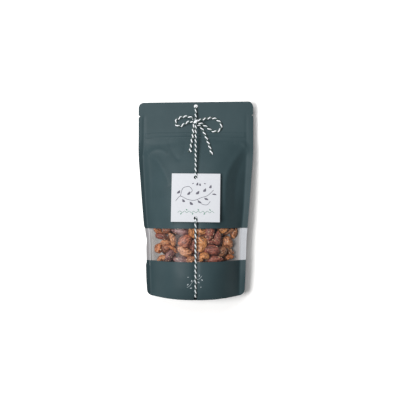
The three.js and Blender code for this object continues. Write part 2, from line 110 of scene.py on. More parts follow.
half_width = through(
    [[0, 64.5], [50, 64.5], [92, 61.8], [133, 58.5], [156, 56.5], [180, 55.9], [220.4, 54.7]]
)
left_seal = through([[0, 6.8], [50, 6.2], [75, 4.8], [130, 4.2], [150, 4.6], [220.4, 4.8]])
right_seal = through([[0, 7.8], [60, 7.4], [95, 6.8], [130, 6.2], [150, 6.6], [220.4, 6]])
seam_height = through(
    [[0, 10], [36, 10.4], [60, 12], [90, 14.5], [120, 16.5], [160, 17.5], [200, 17], [220.4, 16]]
)
front_middle = through(
    [[0, 10.9], [22, 11.2], [34, 12.2], [42, 15], [50, 18.6], [60, 22.8], [71, 27], [90, 32.2]]
    + [[110, 37], [140, 41.6], [165, 43.6], [190, 44], [205, 42.6], [215, 40], [220.4, 37.5]]
)
back_middle = through(
    [[0, 9.1], [36, 8.6], [50, 6.5], [62, 2.5], [72, -1], [90, -5], [150, -7], [195, -6]]
    + [[208, -1.5], [214, 1], [220.4, 3.2]]
)

# %% The film's two faces
TWINE_X = -0.2
FURROW_DEPTH = 1.3
FURROW_REACH = 3.5
FURROW_START = 74
FURROW_FULL = 88
CURL_REACH = 7
CURL_START = 34
CURL_FULL = 70
LEFT_CURL = 3.12
RIGHT_CURL = 0.6
RIGHT_FOOT_DROP = 1.32
FOOT_DROP_START = 186
FOOT_DROP_FULL = 204
ZIP_TOP = 34.5
ZIP_BOTTOM = 40
ZIP_HEIGHT = 0.8
ZIP_SHARE = 0.97


def smooth_step(value, start, end):
    t = np.clip((value - start) / (end - start), 0, 1)
    return t * t * (3 - 2 * t)


def inner_width(x, s):
    """From the middle to the seal on the side of x. The left seal is the narrower one."""
    return half_width(s) - np.where(np.asarray(x) < 0, left_seal(s), right_seal(s))


def share_across(x, s):
    return np.minimum(1, np.abs(x) / inner_width(x, s))


def bottom_edge(x):
    return POUCH_LENGTH - BOTTOM_BOW * (x / BOTTOM_BOW_HALF) ** 2


def front_height(x, s):
    """The front's height: arched, furrowed by the taut twine, its seals curled up a little."""
    beyond = np.clip((np.abs(x) - inner_width(x, s)) / CURL_REACH, 0, 1)
    right_curl = RIGHT_CURL - RIGHT_FOOT_DROP * smooth_step(s, FOOT_DROP_START, FOOT_DROP_FULL)
    lift = np.where(np.asarray(x) < 0, LEFT_CURL, right_curl)
    curl = lift * beyond**1.6 * smooth_step(s, CURL_START, CURL_FULL)
    seal = seam_height(s) + SEAL_THICKNESS / 2
    arch = (1 - share_across(x, s) ** FRONT_FULLNESS) ** FRONT_EDGE
    dip = FURROW_DEPTH * np.exp(-(((x - TWINE_X) / FURROW_REACH) ** 2))
    furrow = dip * smooth_step(s, FURROW_START, FURROW_FULL)
    return seal + (front_middle(s) - seal) * arch - furrow + curl


def back_height(x, s):
    seal = seam_height(s) - SEAL_THICKNESS / 2
    arch = 1 - share_across(x, s) ** BACK_FULLNESS
    return np.maximum(0, seal - (seal - back_middle(s)) * arch)


def place(x, s, z):
    """Points in metres. The film lies a little askew, so the top edge climbs to the right."""
    x, s, z = np.broadcast_arrays(np.asarray(x, float), s, z)
    centring = TOP_SKEW * (TOP_HALF_WIDTH - CORNER_RADIUS) / 2
    y = HALF_LENGTH - s
    y = y + TOP_SKEW * x * (y + HALF_LENGTH) / POUCH_LENGTH - centring
    return np.stack([x, y, z], -1) * MM


print("front rises to", round(float(front_height(0.0, 190.0)), 1), "mm")

# %% [markdown]
# ## Camera
# The photograph looks straight down, so the pouch shows its true outline and only a little
# of the spread that a near camera gives. A long lens 1.2 m above the table keeps that.
# The frame is square, and the camera stands a few millimetres right of the pouch's middle.

# %% Camera
LENS = 95.16
SENSOR_WIDTH = 36
CAMERA_PLACE = (0.00461, -0.00025, 1.2)
camera_data = bpy.data.cameras.new("camera")
camera_data.sensor_width = SENSOR_WIDTH
camera_data.lens = LENS
camera = bpy.data.objects.new("camera", camera_data)
camera.location = CAMERA_PLACE
bpy.context.scene.collection.objects.link(camera)
bpy.context.scene.camera = camera
print("lens", LENS, "mm at", CAMERA_PLACE)

# %% [markdown]
# ## Node helpers
# Materials and Geometry Nodes are both trees of nodes. One small helper adds a node, sets
# its options and feeds its inputs, either with plain numbers or with another node's output.

# %% Node helpers


def add(tree, kind, feeds=(), **settings):
    """One node. feeds maps an input's name or number to a value or to another node's socket."""
    node = tree.nodes.new(kind)
    for name, value in settings.items():
        setattr(node, name, value)
    for key, value in dict(feeds).items():
        if isinstance(value, bpy.types.NodeSocket):
            tree.links.new(value, node.inputs[key])
        else:
            node.inputs[key].default_value = value
    return node


def maths(tree, operation, *values):
    return add(tree, "ShaderNodeMath", dict(enumerate(values)), operation=operation).outputs[0]


def linear(red, green, blue):
    """A colour picked by eye on a 0-255 scale, as the linear colour that shaders use."""
    steps = [c / 255 for c in (red, green, blue)]
    return [c / 12.92 if c <= 0.04045 else ((c + 0.055) / 1.055) ** 2.4 for c in steps] + [1]


def new_finish(name, roughness, **constants):
    """A material with one Principled shader; constants are set on the shader's own sockets."""
    material = bpy.data.materials.new(name)
    material.use_nodes = True
    shader = material.node_tree.nodes["Principled BSDF"]
    shader.inputs["Roughness"].default_value = roughness
    for key, value in constants.items():
        shader.inputs[key.replace("_", " ")].default_value = value
    return material, material.node_tree, shader


def speckle(tree, scale, detail=3.0, roughness=0.55):
    """Noise in the piece's own place, so that it stays put from every side."""
    where = add(tree, "ShaderNodeTexCoord").outputs["Object"]
    feeds = {"Vector": where, "Scale": scale, "Detail": detail, "Roughness": roughness}
    return add(tree, "ShaderNodeTexNoise", feeds).outputs["Fac"]


def between(tree, amount, low, high, *colours):
    """Colours spread evenly over amounts from low to high."""
    ramp = add(tree, "ShaderNodeValToRGB", {"Fac": amount})
    elements = ramp.color_ramp.elements
    while len(elements) < len(colours):
        elements.new(0.5)
    for i, colour in enumerate(colours):
        elements[i].position = low + (high - low) * i / (len(colours) - 1)
        elements[i].color = colour
    return ramp.outputs["Color"]


def spread(tree, amount, low, high):
    """Noise stretched from its usual range to run from low to high."""
    feeds = {"Value": amount, 1: 0.3, 2: 0.7, 3: low, 4: high}
    return add(tree, "ShaderNodeMapRange", feeds).outputs["Result"]


def bumped(tree, shader, height, distance, strength=1.0):
    feeds = {"Height": height, "Distance": distance, "Strength": strength}
    bump = add(tree, "ShaderNodeBump", feeds)
    tree.links.new(bump.outputs["Normal"], shader.inputs["Normal"])


# %% [markdown]
# ## The twine's way round the pouch
# The twine leaves the bow, dives through the hang hole, runs down the back in a furrow,
# comes up through the foot, crosses the window, passes behind the card between its two
# holes and goes back to the bow. Its centre line is a list of stations and heights; a
# centripetal curve through them bends closely at the holes and doesn't overshoot.

# %% Route of the long twine
TWINE_DIAMETER = 2.2
TWINE_RADIUS = TWINE_DIAMETER / 2
TWINE_LIE = TWINE_RADIUS + 0.3
TWINE_BEND = 1.6
HANG_HOLE_STATION = 4.8
HANG_HOLE_DIAMETER = 4.3
BOTTOM_HOLE_STATION = 217.95
BOTTOM_HOLE_DIAMETER = 3.9
KNOT_STATION = 22.4
KNOT_HEIGHT = 16.9
CARD_HALF_WIDTH = 26.8
CARD_TOP = 80.9
CARD_BOTTOM = 134.2
CARD_THICKNESS = 0.5
CARD_X = -0.1
CARD_TURN = 0.9
CARD_HOLE_DIAMETER = 4.0
CARD_HOLE_INSET = 4.2
CARD_LIFT = 1.6
CARD_SIDE_DROOP = 0.5
CARD_END_DROOP = 1
CARD_MIDDLE = (CARD_TOP + CARD_BOTTOM) / 2
CARD_HALF_HEIGHT = (CARD_BOTTOM - CARD_TOP) / 2
CARD_SLOPE = (front_middle(CARD_BOTTOM) - front_middle(CARD_TOP)) / (CARD_BOTTOM - CARD_TOP)
HOLE_LEAN = 0.8
HOLE_LEAN_REACH = 2.2


def card_back(x, s):
    """The card's back, a little bent over the filling."""
    along = s - CARD_MIDDLE
    droop = CARD_SIDE_DROOP * ((x - CARD_X) / CARD_HALF_WIDTH) ** 2
    droop = droop + CARD_END_DROOP * (along / CARD_HALF_HEIGHT) ** 2
    return front_middle(CARD_MIDDLE) + CARD_LIFT + CARD_SLOPE * along - droop


def quarter_turn(s, z, from_degrees, to_degrees):
    """Three points of a bend, as (station, height), round a centre at s and z."""
    angles = np.radians(np.linspace(from_degrees, to_degrees, 3))
    return [(s + TWINE_BEND * math.cos(a), z + TWINE_BEND * math.sin(a)) for a in angles]


def wrap_route():
    """From the knot through the hang hole, down the back, through the foot and up the front."""

    def on_film(s):
        return (s, front_height(TWINE_X, s) + TWINE_LIE)

    def over_card(s):
        return (s, card_back(TWINE_X, s) + CARD_THICKNESS + TWINE_LIE + 0.3)

    def under_card(s):
        return (s, card_back(TWINE_X, s) - TWINE_LIE)

    def in_hole(s):
        return (s, card_back(TWINE_X, s) + CARD_THICKNESS / 2)

    top_hole = CARD_TOP + CARD_HOLE_INSET
    low_hole = CARD_BOTTOM - CARD_HOLE_INSET
    dive = 1.9
    hang_turn = HANG_HOLE_STATION + HANG_HOLE_DIAMETER / 2 + 0.1
    flap_top = front_height(TWINE_X, hang_turn) + 0.2
    flap_back = back_height(TWINE_X, hang_turn) - 0.2
    dive_station = BOTTOM_HOLE_STATION - 1.8
    fin_turn = dive_station - TWINE_BEND
    fin_top = front_height(TWINE_X, fin_turn) + 0.2
    way = [(KNOT_STATION, KNOT_HEIGHT), (14, 14.8)]
    way += quarter_turn(hang_turn, flap_top, 90, 180) + quarter_turn(hang_turn, flap_back, 180, 270)
    way += [(14, 6.7), (40, 4.2)] + [(s, TWINE_LIE) for s in (60, 72, 205, 212)]
    way += quarter_turn(fin_turn, TWINE_LIE + TWINE_BEND, 270, 360)
    way += [(dive_station, fin_top / 2)] + quarter_turn(fin_turn, fin_top, 0, 90)
    way += [on_film(s) for s in (211, 204, 196, 186, 177)]
    way += [(160, front_middle(168) + TWINE_RADIUS), (142, over_card(CARD_BOTTOM)[1] - 0.3)]
    way += [over_card(CARD_BOTTOM), over_card(low_hole + dive), in_hole(low_hole + 0.9)]
    way += [under_card(low_hole), on_film(low_hole - 3 * dive)]
    way += [on_film(s) for s in (118, 108, 98)]
    way += [under_card(top_hole + 2 * dive), under_card(top_hole + 0.2), in_hole(top_hole - 0.8)]
    way += [over_card(top_hole - dive), over_card(CARD_TOP), (70, 31.4), (46, 24.2)]
    way += [(KNOT_STATION, KNOT_HEIGHT)]

    def aside(s, z):
        """The twine leans against the right rim of each hole in the card."""
        far = [(s - hole) / HOLE_LEAN_REACH for hole in (top_hole, low_hole)]
        return HOLE_LEAN * sum(math.exp(-(f**2)) for f in far) if z > KNOT_HEIGHT else 0

    return [place(TWINE_X + aside(s, z), s, z) for s, z in way]


def smooth_line(points, step=0.0006):
    """A centripetal curve through the points, sampled about every step."""
    p = np.array(points, float)
    p = np.vstack([2 * p[0] - p[1], p, 2 * p[-1] - p[-2]])
    knots = np.concatenate([[0], np.cumsum(np.linalg.norm(np.diff(p, axis=0), axis=1) ** 0.5)])
    line = []
    for i in range(1, len(p) - 2):
        t0, t1, t2, t3 = knots[i - 1 : i + 3]
        count = max(2, round(np.linalg.norm(p[i + 1] - p[i]) / step))
        for t in np.linspace(t1, t2, count, endpoint=False):
            a = p[i - 1] + (p[i] - p[i - 1]) * (t - t0) / (t1 - t0)
            b = p[i] + (p[i + 1] - p[i]) * (t - t1) / (t2 - t1)
            c = p[i + 1] + (p[i + 2] - p[i + 1]) * (t - t2) / (t3 - t2)
            ab = a + (b - a) * (t - t0) / (t2 - t0)
            bc = b + (c - b) * (t - t1) / (t3 - t1)
            line.append(ab + (bc - ab) * (t - t1) / (t2 - t1))
    return np.array([*line, p[-2]])


def length_of(line):
    return float(np.linalg.norm(np.diff(line, axis=0), axis=1).sum())


wrap_line = smooth_line(wrap_route())
print("twine round the pouch:", round(length_of(wrap_line), 3), "m")

# %% [markdown]
# ## The bow
# Two loops and two tails lie on the closed top of the pouch. They are limp cord, so each
# one leaves the knot a little above the film, comes down on it within a few millimetres and
# then lies on it. Each point is [x, s, lift], where the lift is over lying on the film.

# %% Routes of the bow
BOW_ROUTES = {
    "bow_loop_left": [
        [-2.7, 22.9, 3.9], [-6.1, 22.2, 3.4], [-9.5, 22.9, 2.2], [-12.9, 24.7, 1], [-16.5, 26.6, 0.2],
        [-20.1, 26.8, 0], [-22.7, 24.3, 0], [-22.3, 20.8, 0], [-18.9, 18, 0.2], [-14.3, 16.4, 0.9],
        [-9.7, 16.4, 1.9], [-5.7, 17.4, 2.9], [-3.1, 19, 3.7],
    ],
    "bow_loop_right": [
        [2.2, 21, 5], [4.7, 20.6, 4.6], [7.9, 19.8, 3.4], [11.5, 19, 2], [14.9, 18.3, 0.8],
        [18.5, 18.2, 0.1], [22.1, 19.2, 0], [25.3, 21.4, 0], [27.8, 24.3, 0], [28.5, 27.8, 0],
        [27.2, 31.2, 0], [24.1, 33.2, 0], [20.3, 33.4, 0], [16.9, 31.9, 0.3], [13.6, 29.5, 1],
        [10.3, 27, 1.8], [7.3, 25, 2.6], [4.5, 24, 3.4], [2.3, 23.4, 3.6],
    ],
    "tail_left": [
        [-2.1, 25.6, 3.2], [-2.9, 28.6, 2.2], [-3.1, 32, 1], [-3.3, 36, 0.1], [-3.9, 40, 0.2],
        [-4.7, 44, 0], [-5.3, 48, 0], [-5.9, 52, 0], [-6.7, 56.2, 0],
    ],
    "tail_right": [
        [1.5, 26, 2.6], [4.1, 27, 1.7], [6.2, 29.2, 0.9], [7.9, 32, 0.3], [9.7, 36, 0],
        [11.4, 40, 0.2], [13.1, 44.4, 0], [14.8, 49.5, 0], [16.3, 54.4, 0], [17.5, 59.2, 0],
    ],
}


def resting(x, s, lift):
    """The centre of a twine on the film, or on the closing strip where it crosses that."""
    on_strip = ZIP_TOP - 0.2 < s < ZIP_BOTTOM + 0.2 and share_across(x, s) <= ZIP_SHARE
    height = front_height(x, s) + (ZIP_HEIGHT if on_strip else 0)
    return place(x, s, height + TWINE_LIE + lift)


bow_lines = {name: smooth_line([resting(*p) for p in way]) for name, way in BOW_ROUTES.items()}
for name, line in bow_lines.items():
    print(name, round(length_of(line) * 1000, 1), "mm")

# %% [markdown]
# ## Cotton twine
# Such twine is two plies, one white and one green, laid round each other, and each ply is
# itself three thin yarns. Modelling the turns beats painting stripes on a tube, because the
# light then catches each ply. Geometry Nodes do it twice over: copy the line, push each copy
# sideways in a direction that turns as it goes, and do the same again with the copies. The
# twine that is pulled tight round the pouch is thinner and laid closer than the bow's.

# %% Yarn finishes


def yarn_finish(name, pale, deep):
    material, tree, shader = new_finish(name, 0.92, Sheen_Weight=0.35, Sheen_Roughness=0.6)
    tone = between(tree, speckle(tree, 900), 0.35, 0.7, deep, pale)
    tree.links.new(tone, shader.inputs["Base Color"])
    tree.links.new(spread(tree, speckle(tree, 500), 0.8, 0.98), shader.inputs["Roughness"])
    bumped(tree, shader, speckle(tree, 6000, 4), 0.0001, 0.6)
    return material


white_yarn = yarn_finish("white cotton", linear(240, 242, 245), linear(220, 224, 228))
green_yarn = yarn_finish("green cotton", linear(16, 66, 61), linear(6, 38, 36))
print("yarns:", white_yarn.name, "and", green_yarn.name)

# %% The twine tree
FLARE_LENGTH = 0.0026
GREEN_SHARE = 1.08


def socket_in(tree, name, kind, value=None):
    socket = tree.interface.new_socket(name=name, in_out="INPUT", socket_type=kind)
    if value is not None:
        socket.default_value = value
    return socket


def new_tree(name, inputs):
    """An empty Geometry Nodes tree with a mesh or curve in and out, and named inputs."""
    tree = bpy.data.node_groups.new(name, "GeometryNodeTree")
    tree.interface.new_socket(name="Geometry", in_out="OUTPUT", socket_type="NodeSocketGeometry")
    socket_in(tree, "Geometry", "NodeSocketGeometry")
    for label, kind, value in inputs:
        socket_in(tree, label, kind, value)
    entry = tree.nodes.new("NodeGroupInput").outputs
    return tree, entry


def stored(tree, name, kind):
    """A named attribute's value at each point."""
    feeds = {"Name": name}
    return add(tree, "GeometryNodeInputNamedAttribute", feeds, data_type=kind).outputs["Attribute"]


def scaled(tree, vector, factor):
    feeds = {0: vector, "Scale": factor}
    return add(tree, "ShaderNodeVectorMath", feeds, operation="SCALE").outputs[0]


def evenly(tree, curve, step):
    feeds = {"Curve": curve, "Length": step}
    return add(tree, "GeometryNodeResampleCurve", feeds, mode="LENGTH").outputs[0]


def smooth_tube(tree, curve, radius):
    profile = add(tree, "GeometryNodeCurvePrimitiveCircle", {"Resolution": 6, "Radius": 1.0})
    feeds = {"Curve": curve, "Profile Curve": profile.outputs[0], "Scale": radius, "Fill Caps": True}
    tube = add(tree, "GeometryNodeCurveToMesh", feeds)
    return add(tree, "GeometryNodeSetShadeSmooth", {"Geometry": tube.outputs[0]}).outputs[0]


def finished(tree, geometry, finish):
    """Makes the instances real and gives them their finish."""
    realized = add(tree, "GeometryNodeRealizeInstances", {"Geometry": geometry})
    feeds = {"Geometry": realized.outputs[0], "Material": finish}
    return add(tree, "GeometryNodeSetMaterial", feeds).outputs[0]


def laid_round(tree, curve, count, offset, lay, phase, index_name, flare):
    """Copies of a curve, each turning round it once in every lay and flaring at the far end."""
    feeds = {"Geometry": curve, "Amount": count}
    copies = add(tree, "GeometryNodeDuplicateElements", feeds, domain="SPLINE").outputs
    feeds = {"Geometry": copies["Geometry"], "Name": index_name, "Value": copies["Duplicate Index"]}
    marked = add(tree, "GeometryNodeStoreNamedAttribute", feeds, data_type="INT", domain="CURVE")
    index = stored(tree, index_name, "INT")
    along = add(tree, "GeometryNodeSplineParameter").outputs["Length"]
    whole = add(tree, "GeometryNodeSplineLength").outputs["Length"]
    to_end = maths(tree, "SUBTRACT", whole, along)
    feeds = {"Value": to_end, 1: FLARE_LENGTH, 2: 0.0, 3: 0.0, 4: flare}
    flared = add(tree, "ShaderNodeMapRange", feeds, interpolation_type="SMOOTHSTEP").outputs[0]
    reach = maths(tree, "MULTIPLY", offset, maths(tree, "ADD", 1.0, flared))
    started = maths(tree, "ADD", maths(tree, "DIVIDE", index, count), phase)
    turns = maths(tree, "ADD", maths(tree, "DIVIDE", along, lay), started)
    feeds = {
        "Vector": add(tree, "GeometryNodeInputNormal").outputs[0],
        "Axis": add(tree, "GeometryNodeInputTangent").outputs[0],
        "Angle": maths(tree, "MULTIPLY", turns, -2 * math.pi),
    }
    turned = add(tree, "ShaderNodeVectorRotate", feeds, rotation_type="AXIS_ANGLE")
    shift = scaled(tree, turned.outputs[0], reach)
    feeds = {"Geometry": marked.outputs[0], "Offset": shift}
    return add(tree, "GeometryNodeSetPosition", feeds).outputs[0], index


def build_twine_tree():
    tree, entry = new_tree(
        "two-colour twine",
        [
            ("Ply offset", "NodeSocketFloat", 0.0007),
            ("Ply lay", "NodeSocketFloat", 0.006),
            ("Phase", "NodeSocketFloat", 0.0),
            ("Yarn offset", "NodeSocketFloat", 0.00037),
            ("Yarn lay", "NodeSocketFloat", 0.0035),
            ("Yarn radius", "NodeSocketFloat", 0.00041),
            ("White share", "NodeSocketFloat", 0.87),
            ("Flare", "NodeSocketFloat", 0.0),
            ("Step", "NodeSocketFloat", 0.0004),
            ("White", "NodeSocketMaterial", None),
            ("Green", "NodeSocketMaterial", None),
        ],
    )
    even = evenly(tree, entry["Geometry"], entry["Step"])
    lays = entry["Ply offset"], entry["Ply lay"], entry["Phase"]
    plies, ply = laid_round(tree, even, 2, *lays, "ply", entry["Flare"])
    feeds = {"Switch": ply, "False": entry["White share"], "True": GREEN_SHARE}
    share = add(tree, "GeometryNodeSwitch", feeds, input_type="FLOAT").outputs[0]
    yarn_offset = maths(tree, "MULTIPLY", entry["Yarn offset"], share)
    lays = yarn_offset, entry["Yarn lay"], 0.0
    yarns, _ = laid_round(tree, plies, 3, *lays, "yarn", entry["Flare"])
    radius = maths(tree, "MULTIPLY", entry["Yarn radius"], share)
    sized = add(tree, "GeometryNodeSetCurveRadius", {"Curve": yarns, "Radius": radius}).outputs[0]
    white = finished(tree, smooth_tube(tree, sized, radius), entry["White"])
    feeds = {"Geometry": white, "Selection": ply, "Material": entry["Green"]}
    dyed = add(tree, "GeometryNodeSetMaterial", feeds)
    add(tree, "NodeGroupOutput", {"Geometry": dyed.outputs[0]})
    return tree


twine_tree = build_twine_tree()
print("twine tree:", len(twine_tree.nodes), "nodes")

# %% Run a tree and keep its mesh


def grown(name, data, tree, **inputs):
    """An object whose Geometry Nodes tree has run, kept as a plain mesh."""
    source = bpy.data.objects.new(name + "_source", data)
    bpy.context.scene.collection.objects.link(source)
    modifier = source.modifiers.new(tree.name, "NODES")
    modifier.node_group = tree
    items = [item for item in tree.interface.items_tree if item.in_out == "INPUT"]
    sockets = {item.name: item.identifier for item in items}
    for label, value in inputs.items():
        modifier[sockets[label.replace("_", " ")]] = value
    evaluated = source.evaluated_get(bpy.context.evaluated_depsgraph_get())
    mesh = bpy.data.meshes.new_from_object(evaluated)
    mesh.name = name
    bpy.data.objects.remove(source)
    piece = bpy.data.objects.new(name, mesh)
    bpy.context.scene.collection.objects.link(piece)
    return piece


def curve_data(name, lines):
    data = bpy.data.curves.new(name, "CURVE")
    data.dimensions = "3D"
    for line in lines:
        spline = data.splines.new("POLY")
        spline.points.add(len(line) - 1)
        spline.points.foreach_set("co", np.hstack([line, np.ones((len(line), 1))]).ravel())
    return data


def count_triangles(piece):
    print(piece.name, "has", sum(len(p.vertices) - 2 for p in piece.data.polygons), "triangles")
    return piece


def twine_piece(name, line, **inputs):
    yarns = {"White": white_yarn, "Green": green_yarn}
    return count_triangles(grown(name, curve_data(name, [line]), twine_tree, **yarns, **inputs))


# %% Lay the twine
TAUT = {"Ply_offset": 0.00056, "Yarn_offset": 0.00033, "Yarn_radius": 0.00037}
wrap = twine_piece("twine_round_pouch", wrap_line, Ply_lay=0.0056, Phase=0.0, **TAUT)
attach(wrap, "root")
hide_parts("twine_wrap")

FLARES = {"tail_left": 1.1, "tail_right": 0.6}
for name, line in bow_lines.items():
    piece = twine_piece("twine_" + name, line, Flare=FLARES.get(name, 0.0))
    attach(piece, "root")
    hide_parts(name)

# %% [markdown]
# ## The knot
# The bow's knot is the same twine taken tightly round the crossing, nearly twice. A short
# tilted coil, dressed by the same tree, reads as a knot from every side. Its white ply is
# the thicker one, because the white is what shows on top of it.

# %% Knot
KNOT_HALF_WIDTH = 1.9
KNOT_HALF_DEPTH = 1.7
KNOT_LENGTH = 2.2
KNOT_TILT = 0.35
KNOT_WHITE_SHARE = 1.3


def knot_line():
    share = np.linspace(0, 1, 60)
    turns = (-0.15 + 1.8 * share) * 2 * math.pi
    x = TWINE_X + KNOT_HALF_WIDTH * np.cos(turns) + 0.3 * np.sin(turns / 2)
    z = KNOT_HEIGHT + 0.2 + KNOT_HALF_DEPTH * np.sin(turns)
    s = KNOT_STATION + KNOT_LENGTH * (share - 0.5) + KNOT_TILT * np.cos(turns)
    return place(x, s, z)


knot = twine_piece("twine_knot", knot_line(), White_share=KNOT_WHITE_SHARE)
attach(knot, "root")
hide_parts("twine_wrap")

# %% [markdown]
# ## Film panels
# The pouch is three panels of laminated film: a front, a back and a folded foot. Each panel
# is a grid in x and s. The grid's rows bend to the rounded corners, and cells inside a hole
# are dropped while their neighbours move out to the rim. Both faces and the cut edges are
# then built at once, which gives every panel a thickness and closes it.

# %% Grids that follow the outline
NOTCH_STATION = 15.5
NOTCH_HEIGHT = 2.4
NOTCH_DEPTH = 2
CORNER_X = half_width(POUCH_LENGTH) - CORNER_RADIUS
WINDOW_TOP = 141.5
WINDOW_BOTTOM = 178.2
WINDOW_BOW = 1.3
WINDOW_BOW_REACH = 16
SHRINK = 0.9
SHRINK_START = (138, 142)
SHRINK_END = (180, 184)
WAIST_STATION = 155
WAIST_REACH = 5


def top_outline(x):
    into = np.clip(np.abs(x) - (TOP_HALF_WIDTH - CORNER_RADIUS), 0, CORNER_RADIUS)
    return CORNER_RADIUS - np.sqrt(CORNER_RADIUS**2 - into**2)


def low_outline(x):
    into = np.clip(np.abs(x) - CORNER_X, 0, CORNER_RADIUS)
    return bottom_edge(x) - (CORNER_RADIUS - np.sqrt(CORNER_RADIUS**2 - into**2))


def drawn_in(s):
    """The clear film is softer than the laminate, so the left seal shrinks a little beside it."""
    beside = smooth_step(s, *SHRINK_START) * (1 - smooth_step(s, *SHRINK_END))
    return SHRINK * (beside + np.exp(-(((s - WAIST_STATION) / WAIST_REACH) ** 2)))


def film_grid(stations, across):
    """x and s of a panel's grid: across runs from -1 at the left edge to 1 at the right."""
    rows = np.asarray(stations, float)[:, None]
    columns = np.asarray(across, float)[None, :]
    into_seal = np.clip((np.abs(columns) - SEAL_START) / (1 - SEAL_START), 0, 1)
    notch = NOTCH_DEPTH * np.clip(1 - np.abs(rows - NOTCH_STATION) / (NOTCH_HEIGHT / 2), 0, 1)
    inner = inner_width(columns, rows)
    seal = half_width(rows) - inner - notch - np.where(columns < 0, drawn_in(rows), 0)
    x = np.sign(columns) * (inner * np.clip(np.abs(columns) / SEAL_START, 0, 1) + into_seal * seal)
    to_top = smooth_step(rows, 14, 0) * top_outline(x)
    to_foot = smooth_step(rows, 196, POUCH_LENGTH) * (POUCH_LENGTH - low_outline(x))
    bow = WINDOW_BOW * columns**2 * np.exp(-(((rows - WINDOW_BOTTOM) / WINDOW_BOW_REACH) ** 2))
    return x, rows + to_top - to_foot - bow


def pierce(x, s, keep, hole_x, hole_s, diameter):
    """Drops the cells inside a round hole and moves its rim's corners onto the circle."""
    radius = diameter / 2
    middle_x = (x[:-1, :-1] + x[1:, 1:]) / 2 - hole_x
    middle_s = (s[:-1, :-1] + s[1:, 1:]) / 2 - hole_s
    inside = middle_x**2 + middle_s**2 < radius**2
    keep &= ~inside
    touched = np.zeros(x.shape, bool)
    for rows in (slice(0, -1), slice(1, None)):
        for columns in (slice(0, -1), slice(1, None)):
            touched[rows, columns] |= inside
    far = np.hypot(x - hole_x, s - hole_s)
    pull = np.where(touched & (far > 1e-6), radius / np.maximum(far, 1e-6), 1)
    x[:] = hole_x + (x - hole_x) * pull
    s[:] = hole_s + (s - hole_s) * pull


SEAL_START = 0.86
seal_columns = np.linspace(SEAL_START, 1, 9)
flank_columns = np.linspace(0.08, SEAL_START, 58)[:-1]
near_twine = np.arange(-0.075, 0.0751, 0.0075)
right_columns = np.concatenate([flank_columns, seal_columns])
ACROSS = np.concatenate([-right_columns[::-1], near_twine, right_columns])
print("columns across the film:", len(ACROSS))

# %% Closed sheets


def mesh_piece(name, points, faces, materials, slots=None):
    mesh = bpy.data.meshes.new(name)
    mesh.from_pydata(points.tolist(), [], faces.tolist())
    for material in materials:
        mesh.materials.append(material)
    if slots is not None:
        mesh.polygons.foreach_set("material_index", slots.astype(np.int32))
    mesh.polygons.foreach_set("use_smooth", np.ones(len(faces), bool))
    mesh.set_sharp_from_angle(angle=math.radians(50))
    piece = bpy.data.objects.new(name, mesh)
    bpy.context.scene.collection.objects.link(piece)
    return piece


def closed_sheet(name, x, s, top, low, materials, keep=None):
    """A sheet between two heights over a grid. Slot 0: top and edges; slot 1: underside."""
    keep = np.ones((x.shape[0] - 1, x.shape[1] - 1), bool) if keep is None else keep
    count = x.size
    index = np.arange(count).reshape(x.shape)
    corners = index[:-1, :-1][keep], index[1:, :-1][keep], index[1:, 1:][keep], index[:-1, 1:][keep]
    upper = np.stack(corners, 1)
    edges = np.concatenate([upper[:, [i, (i + 1) % 4]] for i in range(4)])
    code = edges[:, 0] * count + edges[:, 1]
    rim = edges[~np.isin(code, edges[:, 1] * count + edges[:, 0])]
    walls = np.stack([rim[:, 1], rim[:, 0], rim[:, 0] + count, rim[:, 1] + count], 1)
    faces = np.concatenate([upper, upper[:, ::-1] + count, walls])
    slots = np.concatenate([np.zeros(len(upper)), np.ones(len(upper)), np.zeros(len(walls))])
    points = np.concatenate([place(x, s, top).reshape(-1, 3), place(x, s, low).reshape(-1, 3)])
    used = np.unique(faces)
    renumbered = np.zeros(len(points), int)
    renumbered[used] = np.arange(len(used))
    return mesh_piece(name, points[used], renumbered[faces], materials, slots)


# %% [markdown]
# ## Film finishes
# The outside is a soft matt slate laminate. It has almost no texture of its own, so what
# makes it read as film is broad, weak reflection, a faint cloudiness and a fine grain. The
# inside is pale grey, and it shows through the window beside the nuts. There its tone is
# painted light and shade by place: darker left of the middle, lighter to the right, and
# lighter still where the film is sealed or has no nuts on it.

# %% Film finishes
MIDDLE_LINE = (-0.0001, 0.0)
RIGHT_HALF = (0.0, 0.05)
LEFT_SEAL_LINE = (-0.0498, -0.0515)
RIGHT_SEAL_LINE = (0.0485, 0.05)
EMPTY_TOP = (0.06, 0.1)


def slate_film():
    material, tree, shader = new_finish("slate film", 0.5)
    shader.inputs["Specular IOR Level"].default_value = 0.12
    cloud = speckle(tree, 38, 2)
    tones = linear(48, 64, 68), linear(50, 66, 70), linear(52, 68, 72)
    tone = between(tree, cloud, 0.3, 0.7, *tones)
    tree.links.new(tone, shader.inputs["Base Color"])
    tree.links.new(spread(tree, speckle(tree, 140), 0.44, 0.52), shader.inputs["Roughness"])
    bumped(tree, shader, speckle(tree, 2600, 2), 0.00004, 0.5)
    return material


